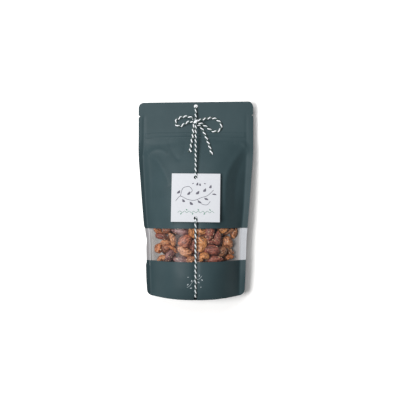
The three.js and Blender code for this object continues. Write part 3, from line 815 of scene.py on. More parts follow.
def pale_film():
    material, tree, shader = new_finish("pale inner film", 0.42)
    where = add(tree, "ShaderNodeTexCoord").outputs["Object"]
    parts = add(tree, "ShaderNodeSeparateXYZ", {0: where}).outputs

    def then(tone, axis, places, next_tone):
        """From one tone to the next between two places on an axis, in metres."""
        feeds = {"Value": parts[axis], 1: places[0], 2: places[1]}
        reached = add(tree, "ShaderNodeMapRange", feeds).outputs[0]
        feeds = {"Factor": reached, 6: tone, 7: next_tone}
        return add(tree, "ShaderNodeMix", feeds, data_type="RGBA").outputs[2]

    # These tones are painted light and shade on one pale grey film: darkest left of the middle,
    # lighter towards the right, lightest at the seals and the empty top.
    left_painted_shade, middle_painted_shade = linear(121, 116, 112), linear(142, 138, 136)
    tone = then(left_painted_shade, "X", MIDDLE_LINE, middle_painted_shade)
    tone = then(tone, "X", RIGHT_HALF, linear(164, 160, 159))
    tone = then(tone, "X", LEFT_SEAL_LINE, linear(167, 166, 168))
    tone = then(tone, "X", RIGHT_SEAL_LINE, linear(179, 182, 187))
    tone = then(tone, "Y", EMPTY_TOP, linear(212, 213, 215))
    tree.links.new(tone, shader.inputs["Base Color"])
    tree.links.new(spread(tree, speckle(tree, 300), 0.36, 0.5), shader.inputs["Roughness"])
    bumped(tree, shader, speckle(tree, 1800, 2), 0.00005, 0.4)
    return material


outer_film = slate_film()
inner_film = pale_film()
print("films:", outer_film.name, "and", inner_film.name)

# %% [markdown]
# ## Front panel
# The front carries the small forms that the light picks out: the pressed closing strip, the
# shoulders where the flat top turns into the filled body, a dent beside the twine, a crease
# along each seam, and a thin bead along the window where the laminate ends. They are soft
# ridges and valleys, each a line of (x, s) points with a width and a height, added to the
# pouch's form.

# %% Folds in the front
FILM = 0.35
ZIP_BAND = 0.2
ZIP_RIB = 0.165
ZIP_RIB_WIDTH = 0.7
ZIP_RIB_INSET = 0.6
ZIP_END_DROP = 0.5
ZIP_DROP_START = 48
ZIP_DROP_FULL = 57
UNEVEN = 0.2
CREASE_WIDTH = 1.6
LEFT_CREASE = 0.55
RIGHT_CREASE = 0.2
BEAD = 0.12
BEAD_WIDTH = 0.4
BEAD_INSET = 0.5


def fold(x, s, line, width, height):
    """A soft ridge along a line, or a valley where its height is negative, fading at its ends."""
    far = (x[..., None] - line[:, 0]) ** 2 + (s[..., None] - line[:, 1]) ** 2
    along = np.argmin(far, -1) / (len(line) - 1)
    return height * np.sin(math.pi * along) ** 0.6 / (1 + far.min(-1) / width**2) ** 1.5


def line_across(s, station, width, height):
    """A ridge right across the pouch."""
    return height * np.exp(-(((s - station) / width) ** 2))


def zip_relief(x, s):
    inside = 1 - smooth_step(share_across(x, s), ZIP_SHARE - 0.02, ZIP_SHARE + 0.02)
    s = s - ZIP_END_DROP * smooth_step(np.abs(x), ZIP_DROP_START, ZIP_DROP_FULL)
    below_top = smooth_step(s, ZIP_TOP - 0.7, ZIP_TOP + 0.3)
    above_bottom = 1 - smooth_step(s, ZIP_BOTTOM - 0.3, ZIP_BOTTOM + 0.7)
    stations = (ZIP_TOP + ZIP_RIB_INSET, ZIP_BOTTOM - ZIP_RIB_INSET)
    ribs = sum(line_across(s, station, ZIP_RIB_WIDTH, ZIP_RIB) for station in stations)
    return inside * (ZIP_BAND * below_top * above_bottom + ribs)


FOLDS = [
    ([(-56, 60), (-48, 54.5), (-40, 53.5), (-31, 58)], 3, 1.1),
    ([(-60, 58), (-45, 64), (-36, 77), (-28, 94)], 5.2, 2.0),
    ([(-55, 58), (-53, 75), (-51.4, 100), (-50.6, 146)], 2.8, 0.8),
    ([(-62, 45), (-48, 47.5), (-34, 47), (-20, 46)], 3.4, -0.5),
    ([(-31, 40), (-26, 56), (-19, 64.5), (-13.5, 58), (-11, 42)], 3.2, -0.65),
    ([(58, 46), (49.5, 57), (42.5, 66.5), (35.4, 81), (32.6, 100), (31.5, 132)], 4.8, 1.5),
    ([(56, 60), (47.5, 78), (43.5, 100), (42.5, 136)], 5, -1.0),
    ([(43, 46.5), (52, 46.5), (57, 53), (56, 60)], 2.4, 0.7),
    ([(16, 43.5), (34, 43.5), (56, 44)], 2.8, -0.5),
    ([(36, 182.4), (43, 184), (50, 187)], 1.6, -0.5),
]
fold_lines = [
    (smooth_line([(across, station, 0) for across, station in way], 2.0), width, height)
    for way, width, height in FOLDS
]


def film_relief(x, s):
    x, s = np.broadcast_arrays(np.asarray(x, float), s)
    shoulders = sum(fold(x, s, *each) for each in fold_lines)
    waves = np.sin(x / 8.3 + 1.1 * np.sin(s / 19)) * np.sin(s / 10.7 + 0.9 * np.sin(x / 13))
    uneven = UNEVEN * waves * smooth_step(s, 40, 60) * (1 - share_across(x, s) ** 4)
    past_seam = np.abs(x) - inner_width(x, s) + np.where(x < 0, -0.5, 0.2)
    crease = np.where(x < 0, LEFT_CREASE, RIGHT_CREASE) * np.exp(-((past_seam / CREASE_WIDTH) ** 2))
    stations = (WINDOW_TOP - BEAD_INSET, WINDOW_BOTTOM + BEAD_INSET)
    beads = sum(line_across(s, station, BEAD_WIDTH, BEAD) for station in stations)
    return shoulders + uneven - crease * smooth_step(s, 12, 20) + beads + zip_relief(x, s)


def front_face(x, s):
    return front_height(x, s) + film_relief(x, s)


print(len(FOLDS), "folds in the front")


# %% Front panel
top_rows = [0, 0.3, 0.7, 1.2, 1.8, *np.arange(2.4, 7.9, 0.45), *np.arange(8.4, 14, 0.8)]
notch_rows = np.linspace(14.3, 16.7, 9)
zip_rows = np.arange(33.2, 41.4, 0.25)
above_window = [*np.arange(41.8, 140, 0.95), 140.2, 140.6, 141, 141.3, 141.5]
below_window = [178.2, 178.4, 178.7, 179.1, 179.5, *np.arange(180.2, 214, 0.95)]
foot_rows = [*np.arange(214.6, 219.9, 0.45), 220.15, POUCH_LENGTH]
rows_above = [*top_rows, *notch_rows, *np.arange(17.4, 33, 0.85), *zip_rows, *above_window]
rows_below = [*below_window, *foot_rows]


def film_panel(name, rows):
    x, s = film_grid(rows, ACROSS)
    keep = np.ones((x.shape[0] - 1, x.shape[1] - 1), bool)
    pierce(x, s, keep, TWINE_X, HANG_HOLE_STATION, HANG_HOLE_DIAMETER)
    pierce(x, s, keep, TWINE_X, BOTTOM_HOLE_STATION, BOTTOM_HOLE_DIAMETER)
    height = front_face(x, s)
    return closed_sheet(name, x, s, height, height - FILM, [outer_film, inner_film], keep)


for name, rows in {"front_above_window": rows_above, "front_below_window": rows_below}.items():
    panel = count_triangles(film_panel(name, rows))
    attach(panel, "root")
    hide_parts("pouch")

# %% [markdown]
# ## Back panel and foot
# The back is flatter than the front, turns up to the seams and is sealed to the front along
# the sides and the top. Over the twine it lifts in a low ridge. The foot is a third panel
# folded inwards between the two, so that the pouch can stand: it shows as a mouth with a
# crease in its middle. Where the twine goes through the front's hole, the foot is pulled
# away from it in a pucker, so that the hole is dark.

# %% Back panel
RIDGE_HEIGHT = 2.8
SEALED = 0.65
SEALED_FROM = 0.9
TOP_SEAL_START = 14
TOP_SEAL_FULL = 9
RIDGE_TOP_HALF = 1.3
RIDGE_FOOT_HALF = 5
RIDGE_START = 52
RIDGE_FULL = 60
BACK_ZIP = 0.35
BACK_FILM = 0.3
BACK_HOLE_STATION = HANG_HOLE_STATION + 0.65
BACK_HOLE_DIAMETER = TWINE_DIAMETER + 0.3


def back_face(x, s):
    """The back's outer face: sealed to the front at its edges, raised over the twine."""
    at_sides = smooth_step(share_across(x, s), SEALED_FROM, 1)
    sealed = np.maximum(at_sides, smooth_step(s, TOP_SEAL_START, TOP_SEAL_FULL))
    beside_twine = smooth_step(np.abs(x - TWINE_X), RIDGE_TOP_HALF, RIDGE_FOOT_HALF)
    ridge = RIDGE_HEIGHT * (1 - beside_twine) * smooth_step(s, RIDGE_START, RIDGE_FULL)
    open_film = np.maximum(back_height(x, s), ridge)
    strip = BACK_ZIP * zip_relief(x, s)
    return open_film + sealed * (front_face(x, s) - SEALED - open_film) - strip * (1 - sealed)


def back_panel():
    x, s = film_grid([*rows_above, *np.arange(142.5, 178, 1.2), *rows_below], ACROSS)
    keep = np.ones((x.shape[0] - 1, x.shape[1] - 1), bool)
    pierce(x, s, keep, TWINE_X, BACK_HOLE_STATION, BACK_HOLE_DIAMETER)
    pierce(x, s, keep, TWINE_X, BOTTOM_HOLE_STATION, BOTTOM_HOLE_DIAMETER)
    low = back_face(x, s)
    return closed_sheet("back_panel", x, s, low + BACK_FILM, low, [inner_film, outer_film], keep)


back = count_triangles(back_panel())
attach(back, "root")
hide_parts("pouch")

# %% Folded foot
GUSSET_DEPTH = 9
GUSSET_CREASE = 3
GUSSET_CORNER_DEPTH = 6
PUCKER_DEPTH = 6
PUCKER_WIDTH = 2.1
FOOT_SHARE = 0.965
FOOT_FILM = 0.3
FRONT_GAP = 0.05
BACK_GAP = 0.35
LAP_SPREAD = 0.35
LEAST_GAP = 0.45


def foot_panel():
    """From the front's edge inwards, down over the crease, and out again along the back."""
    across = np.unique(np.concatenate([np.linspace(-FOOT_SHARE, FOOT_SHARE, 120), near_twine]))
    front_laps = np.linspace(0.05, 0.97, 15)
    back_laps = np.linspace(0.97, 0.06, 12)
    folds = np.linspace(0, 1, 21)
    points = []
    for share in across:
        x = share * inner_width(share, POUCH_LENGTH - GUSSET_DEPTH)
        edge = bottom_edge(x)
        depth = GUSSET_DEPTH + GUSSET_CORNER_DEPTH * share**2
        inner = edge - depth
        high = front_face(x, inner) - FILM - FRONT_GAP - LAP_SPREAD
        low = min(back_face(x, inner) + BACK_GAP + LAP_SPREAD, high - 0.05)
        for lap in front_laps:
            s = edge - depth * lap
            from_hole = math.hypot(x - TWINE_X, s - BOTTOM_HOLE_STATION)
            pulled = PUCKER_DEPTH * math.exp(-((from_hole / PUCKER_WIDTH) ** 2))
            z = front_face(x, s) - FILM - FRONT_GAP - LAP_SPREAD * lap**4 - pulled
            points.append(place(x, s, z))
        for v in folds:
            crease = GUSSET_CREASE * (1 - abs(2 * v - 1)) ** 0.8
            points.append(place(x, inner - crease, high + (low - high) * v))
        for lap in back_laps:
            s = edge - depth * lap
            above = front_face(x, s) - FILM - LEAST_GAP
            z = min(back_face(x, s) + BACK_GAP + LAP_SPREAD * lap**4, above)
            points.append(place(x, s, z))
    per_column = len(front_laps) + len(folds) + len(back_laps)
    index = np.arange(len(across) * per_column).reshape(len(across), per_column)
    quads = (index[:-1, :-1], index[1:, :-1], index[1:, 1:], index[:-1, 1:])
    faces = np.stack([q.ravel() for q in quads], 1)
    return mesh_piece("folded_foot", np.array(points), faces, [outer_film])


def applied(piece):
    """Keeps what the piece's modifiers make as its plain mesh."""
    evaluated = piece.evaluated_get(bpy.context.evaluated_depsgraph_get())
    mesh = bpy.data.meshes.new_from_object(evaluated)
    piece.modifiers.clear()
    piece.data = mesh
    mesh.name = piece.name
    return piece


foot = foot_panel()
wall = foot.modifiers.new("thickness", "SOLIDIFY")
wall.thickness = FOOT_FILM * MM
wall.offset = -1
count_triangles(applied(foot))
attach(foot, "root")
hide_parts("pouch")

# %% [markdown]
# ## Inner film beside the nuts
# Between the outermost nuts and each side seam, the window shows the pale inside of the
# back film, which climbs from under the nuts up to the seam. The back panel lies too deep
# there and would be in shade, so a sheet of its own on each side makes this slope.

# %% Slopes beside the nuts
SLOPE_START = 30
SLOPE_REACH = 5
SLOPE_OVERLAP = 0.4
SLOPE_GAP = 0.43
SLOPE_FALL = 15
SLOPE_RIPPLE = 0.35
SLOPE_FILM = 0.2
ABOVE_BACK = 0.6


def inner_slope(name, side):
    rows = np.linspace(WINDOW_TOP - SLOPE_REACH, WINDOW_BOTTOM + SLOPE_REACH, 40)[:, None]
    share = np.linspace(0, 1, 24)[None, :]
    edge = inner_width(side, rows) + SLOPE_OVERLAP
    x = side * (SLOPE_START + (edge - SLOPE_START) * share)
    s = rows + 0 * x
    ripple = SLOPE_RIPPLE * np.sin(s / 2.9 + 4 * share)
    depth = SLOPE_GAP + (SLOPE_FALL + ripple) * (1 - share)
    height = np.maximum(front_height(x, s) - depth, back_height(x, s) + ABOVE_BACK)
    return closed_sheet(name, x, s, height, height - SLOPE_FILM, [inner_film, inner_film])


for name, side in {"inner_film_left": -1, "inner_film_right": 1}.items():
    slope = count_triangles(inner_slope(name, side))
    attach(slope, "root")
    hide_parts("pouch")

# %% [markdown]
# ## The window
# The window is the same film without its slate layer. It drapes a little over the nuts, so
# its reflections break up. A low Alpha on a smooth grey surface shows the nuts through a
# faint haze with a little gloss. Glass would bend the light, as a thick pane does.

# %% Window finish and film
WINDOW_SINK = 0.05
WINDOW_FILM = 0.25
DRAPE = 0.25
DRAPE_EDGE = 5


def clear_film():
    material, tree, shader = new_finish("clear film", 0.16, Alpha=0.06, IOR=1.5)
    tone = between(tree, speckle(tree, 45), 0.3, 0.7, linear(74, 76, 82), linear(92, 94, 98))
    tree.links.new(tone, shader.inputs["Base Color"])
    tree.links.new(spread(tree, speckle(tree, 220), 0.1, 0.26), shader.inputs["Roughness"])
    bumped(tree, shader, speckle(tree, 160, 2), 0.0006, 0.5)
    return material


def drape(x, s):
    """Small sags between the nuts under the film, up to twice DRAPE deep."""
    wave = np.sin(x / 3.1 + 0.6 * np.sin(s / 4)) * np.sin(s / 3.4 + 0.8 * np.sin(x / 5))
    inside = 1 - smooth_step(share_across(x, s), 0.75, 0.95)
    from_top = smooth_step(s, WINDOW_TOP, WINDOW_TOP + DRAPE_EDGE)
    to_bottom = 1 - smooth_step(s, WINDOW_BOTTOM - DRAPE_EDGE, WINDOW_BOTTOM)
    return -DRAPE * (1 + wave) * inside * from_top * to_bottom


def window_panel():
    x, s = film_grid(np.linspace(WINDOW_TOP - 0.05, WINDOW_BOTTOM + 0.05, 46), ACROSS)
    height = front_height(x, s) - WINDOW_SINK + drape(x, s)
    clear = clear_film()
    return closed_sheet("clear_window", x, s, height, height - WINDOW_FILM, [clear, clear])


window = count_triangles(window_panel())
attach(window, "root")
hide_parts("window")

# %% [markdown]
# ## Three kinds of nut
# An almond is a flattened drop with wrinkles along it, a cashew is a thick bent sausage with
# a groove, and a hazelnut is a ball with a point and a scar. Each kind starts as a fine ball
# whose points are moved by a rule and by noise, in a few variants, so that no two neighbours
# look cut from one mould.

# %% Nut forms
ALMOND_HALF_SIZE = (10.2, 6.7, 4.4)
HAZELNUT_HALF_SIZE = (6.6, 6.3, 6.3)
HAZELNUT_SCAR = -0.86
CASHEW_HALF_LENGTH = 9.4
CASHEW_RADIUS = 4.1
CASHEW_BENDS = (9.5, 8, 12, 7)
CASHEW_GROOVE = 0.7


def ball(level):
    mesh = bmesh.new()
    bmesh.ops.create_icosphere(mesh, subdivisions=level, radius=1)
    points = np.array([v.co for v in mesh.verts])
    faces = [[v.index for v in f.verts] for f in mesh.faces]
    mesh.free()
    return points, faces


def ripple(points, stretch, seed, detail=3):
    """Noise at the points, from -1 to 1, with its own size along each axis."""
    shifted = points * np.array(stretch) + seed * 7.31
    return np.array([noise.fractal(Vector(p), 0.9, 2.0, detail) for p in shifted])


def almond_form(p, seed):
    x, y, z = p.T
    taper = 1 - 0.2 * (x + 1) - 0.13 * np.clip(x, 0, 1) ** 3
    around = np.stack([x * 0.8, y * taper, z * taper], 1)
    groove = ripple(around, (1.3, 6.5, 6.5), seed)
    length, width, height = ALMOND_HALF_SIZE
    tip = 0.8 * np.clip(x, 0, 1) ** 6
    body = np.stack([x * length + tip, y * width * taper, z * height * taper], 1)
    dents = ripple(p, (1.1, 1.1, 1.1), seed + 3, 2)
    return body * (1 + 0.08 * groove + 0.1 * dents)[:, None], groove


def cashew_form(p, seed):
    x, y, z = p.T
    bend = CASHEW_BENDS[seed % len(CASHEW_BENDS)]
    thick = CASHEW_RADIUS * (1 + 0.12 * x + 0.1 * np.cos(x * 5 + seed))
    angle = x * CASHEW_HALF_LENGTH / bend
    groove_line = np.exp(-((z / 0.16) ** 2)) * (y < 0)
    radius = bend + y * thick + CASHEW_GROOVE * groove_line
    body = np.stack([radius * np.sin(angle), radius * np.cos(angle) - bend, z * thick], 1)
    dents = ripple(p, (1.8, 1.8, 1.8), seed + 11, 3)
    fine = ripple(p, (4, 7, 7), seed + 5)
    return body + p * (0.9 * dents + 0.2 * fine)[:, None], fine - 1.2 * groove_line


def hazelnut_form(p, seed):
    x, y, z = p.T
    point = 1 + 0.13 * np.clip(x, 0, 1) ** 4
    flat = np.where(x < HAZELNUT_SCAR, HAZELNUT_SCAR / np.minimum(x, HAZELNUT_SCAR), 1)
    veins = ripple(np.stack([x * 0.35, y, z], 1), (1, 5, 5), seed)
    dents = ripple(p, (1.3, 1.3, 1.3), seed + 2, 2)
    body = p * np.array(HAZELNUT_HALF_SIZE) * (point * flat)[:, None]
    return body * (1 + 0.035 * veins + 0.1 * dents)[:, None], veins


NUT_FORMS = {"almond": almond_form, "cashew": cashew_form, "hazelnut": hazelnut_form}
VARIANTS = 4


def nut_bodies(level):
    """The variants of each kind as (points in mm, groove) pairs, with their common faces."""
    points, faces = ball(level)
    seeds = range(VARIANTS)
    return {kind: [form(points, seed) for seed in seeds] for kind, form in NUT_FORMS.items()}, faces


bodies_fine, faces_fine = nut_bodies(4)
bodies_coarse, faces_coarse = nut_bodies(3)
print("a nut has", len(faces_fine), "faces in front and", len(faces_coarse), "below")

# %% [markdown]
# ## Roasted skins
# Every nut carries its own tint as an attribute, because a mixed bag is a mix of roasts.
# The finish adds what all of them share: grooves painted darker as shade, scorched patches, a
# fine grain and a thin uneven shine of oil.

# %% Nut finishes
# The shade ramp darkens the grooves as painted shade, and its grain noise gives the skin's own uneven
# tone.
DEEP_SHADE = [0.22, 0.16, 0.14, 1]
MID_SHADE = [0.64, 0.58, 0.55, 1]
TOP_SHADE = [1, 0.98, 0.94, 1]
SCORCHED = linear(92, 44, 26)


def nut_finish(name, grain, scorch):
    material, tree, shader = new_finish(name, 0.45)
    tint = add(tree, "ShaderNodeAttribute", attribute_name="tint").outputs["Color"]
    groove = add(tree, "ShaderNodeAttribute", attribute_name="groove").outputs["Fac"]
    # Painted shade in the grooves, mixed with the skin's own grain.
    groove_shade_and_grain = maths(tree, "ADD", maths(tree, "MULTIPLY", groove, 0.55), speckle(tree, grain, 4))
    shade = between(tree, groove_shade_and_grain, 0.28, 0.76, DEEP_SHADE, MID_SHADE, TOP_SHADE)
    feeds = {"Factor": 1.0, 6: tint, 7: shade}
    toned = add(tree, "ShaderNodeMix", feeds, data_type="RGBA", blend_type="MULTIPLY")
    patch = between(tree, speckle(tree, 120, 3), 0.54, 0.74, [0, 0, 0, 1], [scorch] * 3 + [1])
    feeds = {"Factor": patch, 6: toned.outputs[2], 7: SCORCHED}
    scorched = add(tree, "ShaderNodeMix", feeds, data_type="RGBA")
    tree.links.new(scorched.outputs[2], shader.inputs["Base Color"])
    tree.links.new(spread(tree, speckle(tree, 500), 0.3, 0.6), shader.inputs["Roughness"])
    bumped(tree, shader, speckle(tree, grain, 5), 0.0009, 0.9)
    return material


nut_finishes = {
    "almond": nut_finish("almond skin", 700, 0.3),
    "cashew": nut_finish("roasted cashew", 420, 0.35),
    "hazelnut": nut_finish("roasted hazelnut", 500, 0.3),
}
TINTS = {
    "dark red": linear(154, 84, 66),
    "red": linear(162, 92, 72),
    "rose": linear(196, 120, 92),
    "purple": linear(148, 104, 102),
    "brown": linear(168, 104, 72),
    "orange": linear(204, 128, 78),
    "tan": linear(208, 144, 100),
    "gold": linear(226, 156, 96),
    "pale": linear(216, 154, 114),
    "grey tan": linear(176, 124, 92),
}
print(len(nut_finishes), "skins in", len(TINTS), "tints")

# %% [markdown]
# ## Where the nuts lie
# The nuts that show are placed one by one, as they lie behind the window: kind, variant, x,
# s, turn in the plane, roll, size on three axes, how deep it has sunk, and tint. Each is
# then lifted until it just touches the film above it, and flattened where the back film
# leaves it no room, so none pokes through. Beneath them and beyond the window's edges, two
# loose layers fill the space; their tints are painted darker as shade.

# %% Placed nuts
FRONT_NUTS = [
    ("cashew", 1, -42.5, 144, 135, 10, (1.0, 0.9, 1), 0.6, "orange"),
    ("hazelnut", 0, -32, 143, 20, 30, (0.85, 0.72, 0.8), 1.2, "brown"),
    ("almond", 1, -37.1, 150.9, -16, 62, (0.84, 0.8, 0.9), 0.6, "dark red"),
    ("cashew", 2, -34, 156.9, 8, 20, (0.68, 0.72, 0.8), 1.4, "tan"),
    ("hazelnut", 1, -41.3, 164.2, 70, 0, (0.92, 0.82, 0.9), 0, "orange"),
    ("cashew", 0, -24.8, 153.5, -74, 0, (0.92, 0.88, 0.9), 0, "tan"),
    ("almond", 0, -16.9, 144.2, 176, 16, (0.95, 0.92, 1), 0, "purple"),
    ("hazelnut", 2, -12.4, 156.5, 40, 10, (1.2, 1.14, 1), 0, "rose"),
    ("cashew", 2, -11.9, 167.2, 160, 0, (0.95, 1.12, 0.9), 0.2, "pale"),
    ("cashew", 1, -25.1, 163.2, -36, 0, (0.8, 0.5, 0.7), 1, "orange"),
    ("almond", 3, -27.9, 170.5, 62, 18, (0.74, 0.92, 1), 0, "purple"),
    ("hazelnut", 3, -32.9, 162.9, 10, 60, (0.74, 0.7, 0.8), 2, "brown"),
    ("cashew", 3, -37.5, 174.2, 14, 0, (0.8, 0.8, 0.9), 0.8, "tan"),
    ("almond", 2, -15.9, 176.6, 170, 12, (0.8, 0.84, 1), 0.8, "purple"),
    ("cashew", 0, -6.1, 175.6, 32, 0, (0.74, 0.9, 0.9), 0.4, "pale"),
    ("cashew", 1, -4.7, 144.6, 84, 0, (0.9, 0.94, 1), 1.2, "gold"),
    ("almond", 1, -3.1, 162.2, 82, 30, (0.8, 0.7, 1), 5, "dark red"),
    ("cashew", 3, 4.9, 144.8, 152, 0, (0.84, 1, 1), 0.2, "gold"),
    ("cashew", 2, 6.3, 158.4, -82, 0, (0.98, 1.5, 1.1), 0.2, "gold"),
    ("cashew", 3, 8.1, 171.8, 24, 0, (0.76, 1.0, 1), 0, "gold"),
    ("almond", 0, 15, 147.2, -99, 0, (0.98, 1.02, 1), 0, "dark red"),
    ("almond", 2, 24.1, 152, 82, 24, (0.74, 0.78, 1), 0.6, "red"),
    ("almond", 3, 17.1, 156.2, 20, 0, (0.7, 0.7, 0.9), 3.4, "red"),
    ("almond", 1, 16.3, 165.3, 172, 0, (0.98, 1.02, 1.05), 0, "dark red"),
    ("hazelnut", 0, 34.3, 157, -60, 0, (1.08, 1.06, 1), 0, "tan"),
    ("hazelnut", 1, 28.7, 142.2, 12, 40, (1.0, 0.95, 1), 1, "gold"),
    ("cashew", 2, 35.3, 145.4, 29, 0, (0.8, 0.64, 0.8), 1.2, "pale"),
    ("hazelnut", 3, 42.1, 147.6, 70, 0, (1.06, 0.76, 0.9), 0.2, "tan"),
    ("hazelnut", 2, 27.9, 167.6, 20, 20, (0.92, 0.98, 0.9), 1.6, "grey tan"),
    ("almond", 3, 36.1, 166.8, -24, 10, (0.66, 0.72, 0.9), 1.6, "grey tan"),
    ("cashew", 0, 35.1, 173.8, 18, 0, (0.84, 0.7, 0.8), 0.4, "orange"),
    ("almond", 0, 21.1, 176, 8, 10, (0.86, 0.9, 1), 0.6, "red"),
]


print(len(FRONT_NUTS), "nuts placed by hand")

# %% Nuts fitted between the films
FRONT_CLEARANCE = 0.15
BACK_CLEARANCE = 0.8
SHRINK_STEP = (0.985, 0.985, 0.93)
FLATTEST = 0.4
WINDOW_UNDERSIDE = WINDOW_SINK + WINDOW_FILM + 2 * DRAPE


def turned_size(kind, variant, size, angles):
    """A variant's points, sized and turned as the scatter will do it."""
    points = bodies_coarse[kind][variant][0] * np.array(size)
    return points @ np.array(Euler(angles).to_matrix()).T


def height_under_film(points, x, s, gap):
    """The height at which these points just clear the film's underside by the gap."""
    film = front_height(x + points[:, 0], s - points[:, 1]) - WINDOW_UNDERSIDE
    return float(np.min(film - points[:, 2])) - gap


def fitted(kind, variant, x, s, size, angles, sink):
    """A nut's size and height. It is flattened until it fits between the two films."""
    while True:
        points = turned_size(kind, variant, size, angles)
        z = height_under_film(points, x, s, FRONT_CLEARANCE + sink)
        room = z + points[:, 2] - back_face(x + points[:, 0], s - points[:, 1]) - BACK_CLEARANCE
        if room.min() > 0 or size[2] < FLATTEST:
            return size, z
        size = tuple(side * step for side, step in zip(size, SHRINK_STEP))


def nut_row(kind, variant, x, s, turn, roll, size, sink, tint):
    angles = (math.radians(roll), 0, math.radians(turn))
    size, z = fitted(kind, variant, x, s, size, angles, sink)
    row = {"kind": kind, "variant": variant, "at": place(x, s, z)}
    return {**row, "turn": angles, "size": size, "tint": TINTS[tint]}


# %% Filling below and beyond
FILLING_SEED = 20
LAYER_SINKS = (6.5, 13)
LAYER_SHIFT = 3
FILLING_STATIONS = np.arange(133, 188, 8.5)
FILLING_COLUMNS = np.arange(-31, 32, 9)
FILLING_SIZE = (0.9, 0.9, 0.85)
FILLING_TINTS = ["dark red", "brown", "tan", "orange", "red"]
STRAY = 2
LARGEST_ROLL = 40
BEYOND_WINDOW = 3
BEYOND_LIFT = 5.5
PAINTED_SHADE_DARKENING = 0.4
ABOVE_FLOOR = 6.5


def filling():
    """Loose nuts below the front ones and past the window's edges."""
    random = np.random.default_rng(FILLING_SEED)
    rows = []
    for layer, layer_sink in enumerate(LAYER_SINKS):
        for s, x in itertools.product(FILLING_STATIONS, FILLING_COLUMNS):
            shown = WINDOW_TOP - BEYOND_WINDOW < s < WINDOW_BOTTOM + BEYOND_WINDOW
            sink = layer_sink if shown else layer_sink - BEYOND_LIFT
            kind = str(random.choice(list(NUT_FORMS)))
            column = x + random.uniform(-STRAY, STRAY) + layer * LAYER_SHIFT
            spot = (column, s + random.uniform(-STRAY, STRAY))
            tint = str(random.choice(FILLING_TINTS))
            turn, roll = random.uniform(0, 360), random.uniform(-LARGEST_ROLL, LARGEST_ROLL)
            variant = int(random.integers(VARIANTS))
            row = nut_row(kind, variant, *spot, turn, roll, FILLING_SIZE, sink, tint)
            # Painted shade: the lower nuts' tints are darkened.
            row["tint"] = [PAINTED_SHADE_DARKENING * c for c in row["tint"][:3]] + [1]
            if row["at"][2] > (back_height(*spot) + ABOVE_FLOOR) * MM:
                rows.append(row)
    return rows


front_rows = [nut_row(*nut) for nut in FRONT_NUTS]
below_rows = filling()
print(len(front_rows), "nuts in front,", len(below_rows), "below")

# %% [markdown]
# ## Scattering the nuts
# A small tree turns a cloud of points into nuts. Each point holds a variant number, a turn,
# a size and a tint, and the tree puts the right body there. The same tree serves all kinds.

# %% The nut tree


def build_nut_tree():
    inputs = [("Bodies", "NodeSocketCollection", None), ("Finish", "NodeSocketMaterial", None)]
    tree, entry = new_tree("nuts on points", inputs)
    feeds = {"Collection": entry["Bodies"], "Separate Children": True, "Reset Children": True}
    bodies = add(tree, "GeometryNodeCollectionInfo", feeds)
    turn = add(tree, "FunctionNodeEulerToRotation", {0: stored(tree, "turn", "FLOAT_VECTOR")})
    feeds = {
        "Points": entry["Geometry"],
        "Instance": bodies.outputs[0],
        "Pick Instance": True,
        "Instance Index": stored(tree, "variant", "INT"),
        "Rotation": turn.outputs[0],
        "Scale": stored(tree, "size", "FLOAT_VECTOR"),
    }
    placed = add(tree, "GeometryNodeInstanceOnPoints", feeds)
    smooth = add(tree, "GeometryNodeSetShadeSmooth", {"Geometry": placed.outputs[0]}).outputs[0]
    add(tree, "NodeGroupOutput", {"Geometry": finished(tree, smooth, entry["Finish"])})
    return tree


def store(mesh, name, kind, field, values):
    """Keeps one value for each of a mesh's points under a name."""
    values = np.array(values, np.int32 if kind == "INT" else np.float32).ravel()
    mesh.attributes.new(name, kind, "POINT").data.foreach_set(field, values)


def body_collection(kind, bodies, faces):
    collection = bpy.data.collections.new(kind + " bodies")
    for i, (points, groove) in enumerate(bodies):
        mesh = bpy.data.meshes.new(f"{kind}_{i}")
        mesh.from_pydata((points * MM).tolist(), [], faces)
        store(mesh, "groove", "FLOAT", "value", groove)
        collection.objects.link(bpy.data.objects.new(f"{kind}_{i}", mesh))
    return collection


def point_cloud(rows):
    mesh = bpy.data.meshes.new("spots")
    mesh.from_pydata([row["at"].tolist() for row in rows], [], [])
    store(mesh, "variant", "INT", "value", [row["variant"] for row in rows])
    store(mesh, "turn", "FLOAT_VECTOR", "vector", [row["turn"] for row in rows])
    store(mesh, "size", "FLOAT_VECTOR", "vector", [row["size"] for row in rows])
    store(mesh, "tint", "FLOAT_COLOR", "color", [row["tint"] for row in rows])
    return mesh


def on_points(name, rows, kind, bodies, faces, finish):
    """The bodies set on the rows' points and kept as one mesh."""
    collection = body_collection(kind, bodies, faces)
    piece = grown(name, point_cloud(rows), nut_tree, Bodies=collection, Finish=finish)
    for source in list(collection.objects):
        bpy.data.objects.remove(source)
    bpy.data.collections.remove(collection)
    return count_triangles(piece)


nut_tree = build_nut_tree()
print("nut tree:", len(nut_tree.nodes), "nodes")

# %% Grow the nuts
nut_pieces = {}
for name, rows, bodies, faces in (
    ("front", front_rows, bodies_fine, faces_fine),
    ("below", below_rows, bodies_coarse, faces_coarse),
):
    for kind in NUT_FORMS:
        chosen = [row for row in rows if row["kind"] == kind]
        piece = on_points(f"{kind}s_{name}", chosen, kind, bodies[kind], faces, nut_finishes[kind])
        nut_pieces[piece.name] = piece
        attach(piece, "root")
        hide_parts("nuts")

# %% [markdown]
# ## Salt and crumbs
# Roasting leaves salt and bits of broken nut on the tops of the nuts. A small tree sows
# points on the faces that look up, more thickly on the almonds, and sets a crumb on each.

# %% Crumbs
CRUMBS_PER_SQUARE_METRE = {"almond": 46000.0, "cashew": 13000.0, "hazelnut": 18000.0}
FIRST_CRUMB_SEED = 3
STEEPEST = 0.4
CRUMB_SHAPE = {"X": 1.3, "Y": 0.8, "Z": 0.5}


